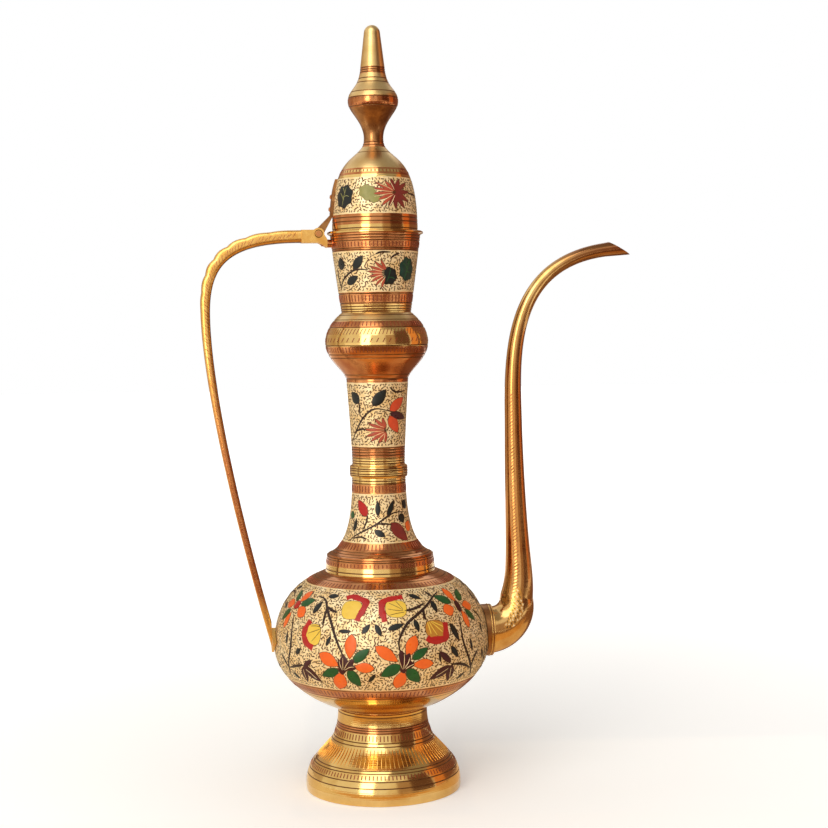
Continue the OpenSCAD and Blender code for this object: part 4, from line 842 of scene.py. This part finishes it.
for name, track, panel, body in (
        ("belly_flowers", bellyTrack, bellyPanel, "vessel"),
        ("lid_flowers", lidTrack, lidPanel, "lid"),
        ("cup_flowers", cupTrack, cupPanel, "vessel"),
        ("upper_neck_flowers", upNeckTrack, upNeckPanel, "vessel"),
        ("lower_neck_flowers", lowNeckTrack, lowNeckPanel, "vessel")):
    store = newStore()
    paintPanel(store, track, panel)
    finishStore(name, store, body, "enamelled_brass")
print("enamel flowers done")

# dark marks on the punched ground: painted shadow in the cuts
for name, track, low, high, body in (
        ("belly_punch_shadows", bellyTrack, 86.6, 154.7, "vessel"),
        ("lower_neck_punch_shadows", lowNeckTrack, 184.3, 219.1, "vessel"),
        ("upper_neck_punch_shadows", upNeckTrack, 253.7, 300.2, "vessel"),
        ("cup_punch_shadows", cupTrack, 366.0, 395.1, "vessel"),
        ("lid_punch_shadows", lidTrack, 422.0, 447.9, "lid")):
    store = newStore()
    grains(store, track, low, high)
    finishStore(name, store, body, "enamelled_brass")

# rows of punch strokes: low, high, pitch, width and, where they have one, slant and finish
strokes = {
    "foot_strokes": (footTrack, "vessel", "polished_brass", [
        (17.9, 20.9, 2.8, 1.1), (24.6, 36.4, 2.9, 0.5, 0.0, "castBrass"), (41.0, 45.2, 2.7, 1.0)]),
    "belly_strokes": (bellyTrack, "vessel", "enamelled_brass", [
        (80.4, 84.2, 3.0, 1.1), (155.3, 157.6, 3.0, 1.2)]),
    "collar_strokes": (collarTrack, "vessel", "copper_lacquer", [(167.8, 170.4, 3.0, 1.1)]),
    "lower_neck_strokes": (lowNeckTrack, "vessel", "enamelled_brass", [
        (179.2, 183.6, 2.8, 1.0), (220.2, 225.2, 2.6, 1.0)]),
    "bulb_strokes": (bulbTrack, "vessel", "polished_brass", [
        (322.3, 326.2, 2.8, 1.0), (329.8, 333.0, 4.6, 1.0, 1.6), (335.4, 339.6, 2.7, 0.8, 1.6),
        (341.4, 344.6, 2.9, 1.1)]),
    "cup_strokes": (cupTrack, "vessel", "enamelled_brass", [
        (358.8, 363.8, 2.8, 1.1), (398.2, 402.0, 2.8, 1.1)]),
    "lid_strokes": (lidTrack, "lid", "enamelled_brass", [(452.0, 453.6, 2.8, 1.1)]),
    "finial_strokes": (finialTrack, "lid", "polished_brass", [(501.2, 506.2, 2.8, 1.0)]),
}
for name, (track, body, slot, rows) in strokes.items():
    store = newStore()
    for row in rows:
        tickRow(store, track, *row)
    finishStore(name, store, body, slot)
print("punched rows done")

# the elbow is placed by the solid's radii; the skin's are a hair less
spout = {"rootX": 82.9, "rootUp": 8.0, "root": 17.35, "elbow": 12.45, "solidRoot": 17.4, "solidElbow": 12.5,
         "mid": 6.55, "throat": 4.25, "mouth": 5.25, "bend": 5.8, "run": 1.7, "lowH": 126.0, "upH": 135.0,
         "out": 82.6, "cut": 15.8, "wall": 2.0, "tipWall": 1.0, "midBack": 0.8, "riseOut": 4.4,
         "risePulls": (0.18, 0.744), "riseThin": (0.45, 0.69), "bendPull": 0.378, "tipBack": 0.09,
         "tipDrop": 0.036, "bendThin": 0.38, "sides": 64}
elbowSteps, riseSteps, bendSteps = 24, 60, 90
rootZ = equator + spout["rootUp"]
bendX, bendZ = spout["rootX"] + spout["run"], rootZ + spout["solidRoot"] + spout["bend"]
elbowX = bendX + spout["solidElbow"] + spout["bend"]
midX, midZ = elbowX - spout["midBack"], bendZ + spout["lowH"]
tipX, tipHigh = midX + spout["out"], midZ + spout["upH"]
lowThin, highThin = (mix(spout["elbow"], spout["mid"], k) for k in spout["riseThin"])
bendThin = mix(spout["mid"], spout["mouth"], spout["bendThin"])
rise = curve(  # place and radius along the spout
    (elbowX, bendZ, spout["elbow"]),
    (elbowX + spout["riseOut"], bendZ + spout["risePulls"][0] * spout["lowH"], lowThin),
    (elbowX, midZ - spout["risePulls"][1] * spout["lowH"], highThin),
    (midX, midZ, spout["mid"]), riseSteps)
bend = curve(
    (midX, midZ, spout["mid"]),
    (midX, midZ + spout["bendPull"] * spout["upH"], bendThin),
    (midX - spout["tipBack"] * spout["out"], tipHigh - spout["tipDrop"] * spout["upH"], spout["throat"]),
    (tipX, tipHigh, spout["mouth"]), bendSteps)


def leanOf(line, i):
    a, b = line[max(0, i - 1)], line[min(len(line) - 1, i + 1)]
    return math.atan2(b[1] - a[1], b[0] - a[0])


def runningLength(rings):
    made = [0.0]
    for a, b in zip(rings, rings[1:]):
        made.append(made[-1] + math.dist(a[:2], b[:2]))
    return made


def ringAt(rings, lengths, v):  # the ring at a length along the row
    k = min(max(bisect.bisect_right(lengths, v) - 1, 0), len(rings) - 2)
    t = (v - lengths[k]) / (lengths[k + 1] - lengths[k])
    return [mix(p, q, t) for p, q in zip(rings[k], rings[k + 1])]


spoutRings = [(spout["rootX"], rootZ, 0.0, spout["root"], spout["wall"])]  # x, z, lean, radius, wall
for i in range(elbowSteps + 1):
    lean, r = math.radians(90 * i / elbowSteps), mix(spout["root"], spout["elbow"], i / elbowSteps)
    away = r + spout["bend"]
    spoutRings.append((bendX + away * math.sin(lean), bendZ - away * math.cos(lean), lean, r, spout["wall"]))
for i, (x, z, r) in enumerate(rise[1:], 1):
    wall = mix(spout["wall"], spout["tipWall"], i / (2 * riseSteps))
    spoutRings.append((x, z, leanOf(rise, i), r, wall))
for i, (x, z, r) in enumerate(bend[1:], 1):
    if i == bendSteps or x < tipX - spout["cut"] / 2 - spout["mouth"] / 4:  # clear of the slanting cut
        wall = mix(spout["wall"], spout["tipWall"], 0.5 + i / (2 * bendSteps))
        spoutRings.append((x, z, leanOf(bend, i), r, wall))
spoutLength = runningLength(spoutRings)


def spoutPoint(ring, turn, inset, cut=0.0):
    x, z, lean, r, wall = ring
    rr = r - inset * wall
    down, slide = rr * math.cos(turn), cut / 2 * math.cos(turn) * rr / r
    return (x + down * math.sin(lean) + slide * math.cos(lean), rr * math.sin(turn),
            z - down * math.cos(lean) + slide * math.sin(lean))


spoutPoints, spoutSides = [], spout["sides"]
for inset, row in ((0, spoutRings), (1, spoutRings[::-1])):  # up the outside and down the bore
    for ring in row:
        cut = spout["cut"] if ring is spoutRings[-1] else 0.0
        spoutPoints += [spoutPoint(ring, -2 * math.pi * i / spoutSides, inset, cut)
                        for i in range(spoutSides)]
spoutFaces = tubeFaces(2 * len(spoutRings), spoutSides, closed=True)
makePiece("spout_drawn", spoutPoints, spoutFaces, ["drawnBrass"] * len(spoutFaces),
          "vessel", "polished_brass", ("spout",))


def surfaceStroke(store, place, path, width, part, lift=0.1, sink=0.25, across=2, ends=0.4):
    # a raised stroke on any surface: place gives the point for two surface values and a lift
    base, last = len(store["points"]), len(path) - 1
    du, dv = path[-1][0] - path[0][0], path[-1][1] - path[0][1]
    size = math.hypot(du, dv)
    top = [(mix(-0.44, 0.44, i / (across - 1)), lift) for i in range(across)]
    section = [(-0.5, -sink)] + top + [(0.5, -sink)]
    for i, (u, v) in enumerate(path):
        wide = width * mix(ends, 1.0, math.sin(math.pi * i / last) ** 0.6)
        for shift, up in section:
            store["points"].append(place(u - dv / size * shift * wide, v + du / size * shift * wide, up))
    addFaces(store, base, tubeFaces(last + 1, len(section)), part)


def onSpout(side):
    def place(u, v, up):  # u mm round from the side's middle, v mm up the spout
        x, z, lean, r, wall = ringAt(spoutRings, spoutLength, v)
        return spoutPoint((x, z, lean, r + up, wall), side * (math.pi / 2 - u / r), 0)
    return place


# a patch of pale and dark scales on the elbow, the dark ones painted shadow in the engraved cuts, and a row
# of slanting ticks up the spout, on both sides
# the ticks are drawn coarser than the real ones, so that they show
engraving = {"patchLow": 8.0, "patchHigh": 44.0, "patchWide": 11.0, "patchShift": -2.4, "scale": 2.4,
             "scaleIn": 0.7, "tickLow": 40.0, "tickTop": 190.0, "tickPitch": 2.5, "tickAt": -0.42,
             "tickReach": 0.28, "tickRise": 1.5, "tickWide": 1.1}
patchLow, patchHigh, patchSteps = engraving["patchLow"], engraving["patchHigh"], 24
# the dark scales are painted shadow in the engraved cuts; the pale ones are the cream ground
cutShadowScale, lightScale = (1.2, "stemEnamel", 0.25), (2.0, "punchedGround", 0.2)  # width, finish, lift
spoutMarks = newStore()
for side in (-1, 1):
    place = onSpout(side)
    spine = [(engraving["patchShift"], mix(patchLow, patchHigh, i / patchSteps))
             for i in range(patchSteps + 1)]
    surfaceStroke(spoutMarks, place, spine, engraving["patchWide"], "castBrass", 0.1, 0.4, 9, 0.15)
    rows = round((patchHigh - patchLow) / engraving["scale"])
    for row in range(1, rows):
        v = mix(patchLow, patchHigh, row / rows)
        span = engraving["patchWide"] * math.sin(math.pi * row / rows) ** 0.6
        for column in range(-2, 3):
            u = (column + 0.5 * (row % 2)) * engraving["scale"] * 0.9
            if abs(u) < span / 2 - engraving["scaleIn"]:
                u += engraving["patchShift"]
                v1, tip = v + dice.uniform(-0.3, 0.3), dice.uniform(0.5, 1.1)
                scale = [(u - 0.8, v1 + tip), (u, v1 - 0.5), (u + 0.7, v1 + 0.5)]
                surfaceStroke(spoutMarks, place, scale, *(cutShadowScale if (row + column) % 2 else lightScale))
    v = engraving["tickLow"]
    while v < engraving["tickTop"]:
        r = spoutRings[min(bisect.bisect_right(spoutLength, v), len(spoutRings) - 1)][3]
        u, reach = engraving["tickAt"] * r, engraving["tickReach"] * r * dice.uniform(0.6, 1.1)
        slant = [(u + k * reach / 2, v + k * engraving["tickRise"] / 2) for k in range(-2, 3)]
        surfaceStroke(spoutMarks, place, slant, engraving["tickWide"], "brownedBrass", 0.12)
        v += engraving["tickPitch"]
finishStore("spout_engraving", spoutMarks, "vessel", "polished_brass")


def ringBead(store, place, r, tube, part, sides=96, around=10):
    # a round wire bent to a ring: place gives the point for a step along its axis and two steps across
    base = len(store["points"])
    for i in range(sides):
        turn = 2 * math.pi * i / sides
        for k in range(around):
            roll = 2 * math.pi * k / around
            out = r + tube * math.cos(roll)
            store["points"].append(place(tube * math.sin(roll), out * math.cos(turn), out * math.sin(turn)))
    addFaces(store, base, tubeFaces(sides, around, closed=True), part)


beads = {"rings": ((80.6, 19.0, 0.55), (82.5, 18.8, 0.5))}  # bright beads round the flange: x, radius, tube
beadStore = newStore()
for x, r, tube in beads["rings"]:
    ringBead(beadStore, lambda along, p, q: (x + along, p, rootZ + q), r, tube, "polishedBrass")
finishStore("flange_beads", beadStore, "vessel", "polished_brass")

seat = {"r": 31.6, "z": 60.2, "tube": 0.8}  # solder line in the seam between belly and foot
seatStore = newStore()
ringBead(seatStore, lambda along, p, q: (p, q, seat["z"] + along), seat["r"], seat["tube"], "drawnBrass", 160)
finishStore("seat_seam", seatStore, "vessel", "polished_brass")

lug = {"r": 2.7, "tube": 0.35}  # a dark ring round the pin on both lugs
pinLow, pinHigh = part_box("hinge_pin")
forkLow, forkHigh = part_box("hinge_fork")
pinX, pinZ = (pinLow[0] + pinHigh[0]) / 2 / mm, (pinLow[2] + pinHigh[2]) / 2 / mm
lugStore = newStore()
for y in (forkLow[1] / mm, forkHigh[1] / mm):
    ringBead(lugStore, lambda along, p, q: (pinX + q, y + along, pinZ + p), lug["r"], lug["tube"],
             "tarnishedBrass", 48, 8)
finishStore("lug_rings", lugStore, "vessel", "polished_brass")

handle = {"reach": 124.6, "z": 406.996, "bowDrop": 55.0, "lowX": -81.3, "lowUp": 12.0, "endX": -54.5,
          "lowT": 5.1, "bowT": 6.85, "endT": 9.25, "lowW": 7.3, "w": 8.9, "scallop": 1.1, "scallops": 7,
          "square": 3.0, "lowPulls": (0.53, 0.36), "bowPull": 0.22, "topPull": 0.64, "endPull": 0.19,
          "sides": 32}
lowSteps, topSteps = 90, 140
lowX, lowZ, endX, topZ = handle["lowX"], equator + handle["lowUp"], handle["endX"], handle["z"]
bowX, bowZ = -handle["reach"], topZ - handle["bowDrop"]
lowRun = curve((lowX, lowZ), (mix(lowX, bowX, handle["lowPulls"][0]), mix(lowZ, bowZ, handle["lowPulls"][1])),
               (bowX, mix(bowZ, lowZ, handle["bowPull"])), (bowX, bowZ), lowSteps)
topRun = curve((bowX, bowZ), (bowX, mix(bowZ, topZ, handle["topPull"])),
               (mix(bowX, endX, handle["endPull"]), topZ), (endX, topZ), topSteps)
strap = []  # x, z, lean, thickness, width, scallop
for i, (x, z) in enumerate(lowRun):
    t, lean = i / lowSteps, leanOf(lowRun, i)
    thick = mix(handle["lowT"], handle["bowT"], t * t)
    if i == 0 or x + thick / 2 * math.sin(lean) < lowX - handle["lowT"] / 4:  # clear of the pad's face
        strap.append((x, z, lean, thick, mix(handle["lowW"], handle["w"], t), 0.0))
for i, (x, z) in enumerate(topRun[1:], 1):
    t = i / topSteps
    bump = handle["scallop"] * math.sin(math.pi * t) * abs(math.sin(math.pi * handle["scallops"] * t))
    strap.append((x, z, leanOf(topRun, i), mix(handle["bowT"], handle["endT"], t), handle["w"], bump))
strapLength = runningLength(strap)


def strapPoint(ring, turn):
    x, z, lean, thick, width, bump = ring
    inward, sideways = math.cos(turn), math.sin(turn)
    power = 2 / handle["square"]
    away = -thick / 2 * math.copysign(abs(inward) ** power, inward)
    away += bump * min(1.0, max(0.0, (-inward - 0.05) / 0.4))
    return (x - away * math.sin(lean), width / 2 * math.copysign(abs(sideways) ** power, sideways),
            z + away * math.cos(lean))


strapPoints, strapSides = [], handle["sides"]
for ring in strap:
    strapPoints += [strapPoint(ring, 2 * math.pi * (i + 0.5) / strapSides) for i in range(strapSides)]
padLean = math.tan(strap[0][2])  # the first ring is slid along the strap to the pad's face
strapPoints[:strapSides] = [(lowX, y, z + (lowX - x) * padLean) for x, y, z in strapPoints[:strapSides]]
# the inside of the bow takes the dark brown finish as painted shade
strapParts = []
for i in range(strapSides):
    inward = math.cos(2 * math.pi * (i + 1) / strapSides)  # 1 inside the bow, -1 outside
    strapParts.append("tarnishedBrass" if inward > 0.8 else "castBrass" if inward < -0.8 else "wornBrass")
makePiece("handle_cast", strapPoints, tubeFaces(len(strap), strapSides),
          strapParts * (len(strap) - 1) + ["castBrass"] * 2, "vessel", "polished_brass", ("handle",))


def onStrap(side):
    def place(u, v, up):  # u mm across the strap's flank, v mm along it
        x, z, lean, thick, width = ringAt(strap, strapLength, v)[:5]
        fall = (1 - min(0.98, abs(2 * u / thick)) ** handle["square"]) ** (1 / handle["square"])
        return (x - u * math.sin(lean), side * (width / 2 * fall + up), z + u * math.cos(lean))
    return place


chasing = {"pitch": 2.3, "first": 30.0, "end": 3.0, "width": 0.7}  # loose slanting cuts on both flanks
strapMarks = newStore()
for side in (-1, 1):
    place = onStrap(side)
    v = chasing["first"]
    while v < strapLength[-1] - chasing["end"]:
        thick = strap[min(bisect.bisect_right(strapLength, v), len(strap) - 1)][3]
        half, shift = thick * dice.uniform(0.12, 0.24), thick * dice.uniform(-0.16, 0.14)
        stroke = [(shift + half * k / 4, v + dice.uniform(0.8, 1.6) * k / 4) for k in range(-4, 5)]
        surfaceStroke(strapMarks, place, stroke if side < 0 else stroke[::-1], chasing["width"],
                      "copperLacquer", 0.08)
        v += chasing["pitch"] * dice.uniform(0.6, 1.4)
finishStore("handle_chasing", strapMarks, "vessel", "polished_brass")
print("spout and handle done")

# small parts keep their own solids, with softened edges
smallParts = {
    "foot_washer": "polishedBrass", "foot_screw": "castBrass", "spout_flange": "brownedBrass",
    "handle_pad": "castBrass", "hinge_fork": "castBrass", "handle_stud": "copperLacquer",
    "hinge_pin": "copperLacquer", "lid_bezel": "polishedBrass", "lid_leaf": "brownedBrass",
    "leaf_rivets": "copperLacquer", "finial_washer": "polishedBrass", "finial_nut": "castBrass",
}
softEdge = {"width": 0.3, "segments": 2, "angle": 40, "sharp": 30}
for name, part in smallParts.items():
    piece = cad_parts[name]
    piece.data.materials.clear()
    piece.data.materials.append(finish[part])
    for polygon in piece.data.polygons:
        polygon.material_index = 0
        polygon.use_smooth = True
    piece.data.set_sharp_from_angle(angle=math.radians(softEdge["sharp"]))
    soften = piece.modifiers.new("softEdges", "BEVEL")
    soften.limit_method = "ANGLE"
    soften.width, soften.segments = softEdge["width"] * mm, softEdge["segments"]
    soften.angle_limit = math.radians(softEdge["angle"])
print("small parts finished")

# distance and height in mm, angles in degrees, focal length and frame in pixels
studio = {"distance": 1184.0, "height": 339.2, "azimuth": -8.0, "yaw": 1.289, "pitch": 3.045, "roll": -0.827,
          "focal": 1609.0, "frame": 828, "sensor": 36}
azimuth, yaw, pitch, roll = (math.radians(studio[k]) for k in ("azimuth", "yaw", "pitch", "roll"))
forward = Vector((math.sin(yaw) * math.cos(pitch), math.cos(yaw) * math.cos(pitch), -math.sin(pitch)))
level = Vector((math.cos(yaw), -math.sin(yaw), 0))
upward = level.cross(forward)
right = math.cos(roll) * level + math.sin(roll) * upward
upright = -math.sin(roll) * level + math.cos(roll) * upward
spin = Matrix.Rotation(azimuth, 3, "Z")
right, upright, forward = spin @ right, spin @ upright, spin @ forward
eye = bpy.data.cameras.new("eye")
eye.sensor_width = studio["sensor"]
eye.lens = studio["sensor"] * studio["focal"] / studio["frame"]
camera = bpy.data.objects.new("eye", eye)
scene.collection.objects.link(camera)
away, height = studio["distance"], studio["height"]
stand = Vector((away * math.sin(azimuth), -away * math.cos(azimuth), height)) * mm
camera.matrix_world = Matrix.Translation(stand) @ Matrix((right, upright, -forward)).transposed().to_4x4()
scene.camera = camera


def aroundCamera(angle, away, height):  # a place by its angle right of the camera, seen from the vessel
    turn = math.radians(angle - 90) + azimuth
    return Vector((away * math.cos(turn), away * math.sin(turn), height))


lamps = {  # angle right of the camera, distance, height, size, power, colour
    "windowLeft": (-25, 1.5, 0.60, (0.55, 1.15), 8.5, "#FFF9EE"),
    "topSheet": (-20, 1.1, 1.65, (1.2, 1.2), 9.0, "#FFFFFF"),
}
lampAim = Vector((0, 0, 0.28))  # the vessel's middle
for name, (angle, away, height, size, power, colour) in lamps.items():
    light = bpy.data.lights.new(name, "AREA")
    light.shape, light.size, light.size_y, light.energy = "RECTANGLE", size[0], size[1], power
    light.color = linear(colour)[:3]
    lamp = bpy.data.objects.new(name, light)
    scene.collection.objects.link(lamp)
    lamp.location = aroundCamera(angle, away, height)
    lamp.rotation_euler = (lampAim - lamp.location).to_track_quat("-Z", "Y").to_euler()

# plain cards seen only in reflections: from, to, low, high, colour
cards = {
    "backCard": (-210, -150, 0.02, 1.3, "#93765C"),
    "farLeftCard": (-150, -104, 0.02, 1.3, "#D0BEA9"),
    "leftCard": (-104, -75, 0.02, 1.3, "#F1EBE1"),
    "midCard": (20, 42, 0.02, 1.3, "#BBA190"),
    "darkCard": (42, 80, 0.02, 1.8, "#70534A"),
    "warmCard": (82, 104, 0.02, 1.8, "#EDA065"),
    "brownCard": (104, 150, 0.02, 1.8, "#896155"),
}
cardAway, cardStep = 1.9, 6  # metres from the vessel, and degrees for each flat of a card
sheets = {  # flat cards: near, far, left, right, height, colour
    "nearTable": (0.075, 0.36, -0.5, 0.5, 0.002, "#EBB978"),
    "farTable": (0.36, 1.6, -0.9, 0.9, 0.002, "#957257"),
    "rightTable": (-0.12, 0.075, 0.065, 0.36, 0.002, "#ECCDA4"),
    "rightFar": (-0.12, 0.36, 0.36, 1.5, 0.002, "#96705A"),
    "rightBack": (-1.3, -0.12, 0.05, 1.5, 0.002, "#8C6853"),
    "leftTable": (-1.2, 0.075, -1.4, -0.065, 0.002, "#F3E1C6"),
    "ceilingLeft": (-1.5, 1.5, -1.5, 0.0, 2.2, "#E2E3E6"),
    "ceilingRight": (-1.5, 1.5, 0.0, 3.0, 2.2, "#A5A3A2"),
}


def addCard(name, points, faces, colour):
    mesh = bpy.data.meshes.new(name)
    mesh.from_pydata(points, [], faces)
    material = newMaterial(name)
    tree = material.node_tree
    glow = addNode(tree, "Emission", {"Color": linear(colour), "Strength": 1.0})
    addNode(tree, "OutputMaterial", {"Surface": glow.outputs["Emission"]})
    mesh.materials.append(material)
    card = bpy.data.objects.new(name, mesh)
    scene.collection.objects.link(card)
    card.visible_camera = card.visible_diffuse = card.visible_shadow = card.visible_transmission = False


for name, (start, end, low, high, colour) in cards.items():
    steps = max(4, round((end - start) / cardStep))
    corners = [aroundCamera(mix(start, end, i / steps), cardAway, z)
               for i in range(steps + 1) for z in (low, high)]
    addCard(name, corners, [(2 * i, 2 * i + 2, 2 * i + 3, 2 * i + 1) for i in range(steps)], colour)
for name, (near, far, start, end, height, colour) in sheets.items():
    corners = [aroundCamera(0, away, height) + aroundCamera(90, side, 0) for away, side in (
        (near, start), (far, start), (far, end), (near, end))]
    addCard(name, corners, [(0, 1, 2, 3)], colour)


def shownRays(tree):  # 1 for rays that show the background: from the camera, off metal or through glass
    path = addNode(tree, "LightPath", {})
    seen = addNode(tree, "Math", {
        0: path.outputs["Is Camera Ray"], 1: path.outputs["Is Glossy Ray"]}, operation="MAXIMUM")
    shown = addNode(tree, "Math", {
        0: seen.outputs[0], 1: path.outputs["Is Transmission Ray"]}, operation="MAXIMUM")
    return shown.outputs[0]


world = bpy.data.worlds.new("room")
scene.world = world
world.use_nodes = True
tree = world.node_tree
tree.nodes.clear()
room = addNode(tree, "Background", {"Color": linear("#F4F1EC"), "Strength": 0.6})
white = addNode(tree, "Background", {"Color": linear("#FFFFFF"), "Strength": 1.0})
either = addNode(tree, "MixShader", {
    0: shownRays(tree), 1: room.outputs["Background"], 2: white.outputs["Background"]})
addNode(tree, "OutputWorld", {"Surface": either.outputs["Shader"]})

# pale paper floor: rings in m, drop and tooth in mm
paper = {"rings": (0.05, 0.3, 1.0, 3.0, 8.0), "sides": 64, "drop": 0.3, "tooth": 3.0}
floorPoints = [(0, 0, -paper["drop"] * mm)]
for r in paper["rings"]:
    for i in range(paper["sides"]):
        turn = 2 * math.pi * i / paper["sides"]
        floorPoints.append((r * math.cos(turn), r * math.sin(turn), -paper["drop"] * mm))
floorFaces = [(0, 1 + i, 1 + (i + 1) % paper["sides"]) for i in range(paper["sides"])]
floorFaces += [tuple(1 + k for k in face) for face in tubeFaces(len(paper["rings"]), paper["sides"])[:-2]]
floorMesh = bpy.data.meshes.new("paperFloor")
floorMesh.from_pydata(floorPoints, [], floorFaces)
mattPaper = newMaterial("mattPaper")  # matt white paper: no gloss, faint tooth
tree = mattPaper.node_tree
coords = addNode(tree, "TexCoord", {}).outputs["Object"]
tooth = addNode(tree, "TexNoise", {  # drawn far coarser than real paper, so that it shows
    "Vector": coords, "Scale": 1 / (paper["tooth"] * mm), "Detail": 2.0})
tint = addNode(tree, "Mix", {
    0: tooth.outputs["Fac"], 6: linear("#FBFAF8"), 7: linear("#F4F2EF")}, data_type="RGBA")
sheet = addNode(tree, "BsdfPrincipled", {"Base Color": tint.outputs[2], "Roughness": 0.9})
reach = addNode(tree, "VectorMath", {0: coords}, operation="LENGTH")
fade = addNode(tree, "MapRange", {  # white paper out to the horizon, shadow kept near the foot
    "Value": reach.outputs["Value"], "From Min": 0.1, "From Max": 1.2, "To Min": 0.18, "To Max": 0.75})
glowLevel = addNode(tree, "Math", {0: shownRays(tree), 1: fade.outputs["Result"]}, operation="MULTIPLY")
glow = addNode(tree, "Emission", {"Color": linear("#FFFFFF"), "Strength": glowLevel.outputs[0]})
both = addNode(tree, "AddShader", {0: sheet.outputs["BSDF"], 1: glow.outputs["Emission"]})
addNode(tree, "OutputMaterial", {"Surface": both.outputs["Shader"]})
floorMesh.materials.append(mattPaper)
floor = bpy.data.objects.new("paperFloor", floorMesh)
scene.collection.objects.link(floor)
print("studio done")
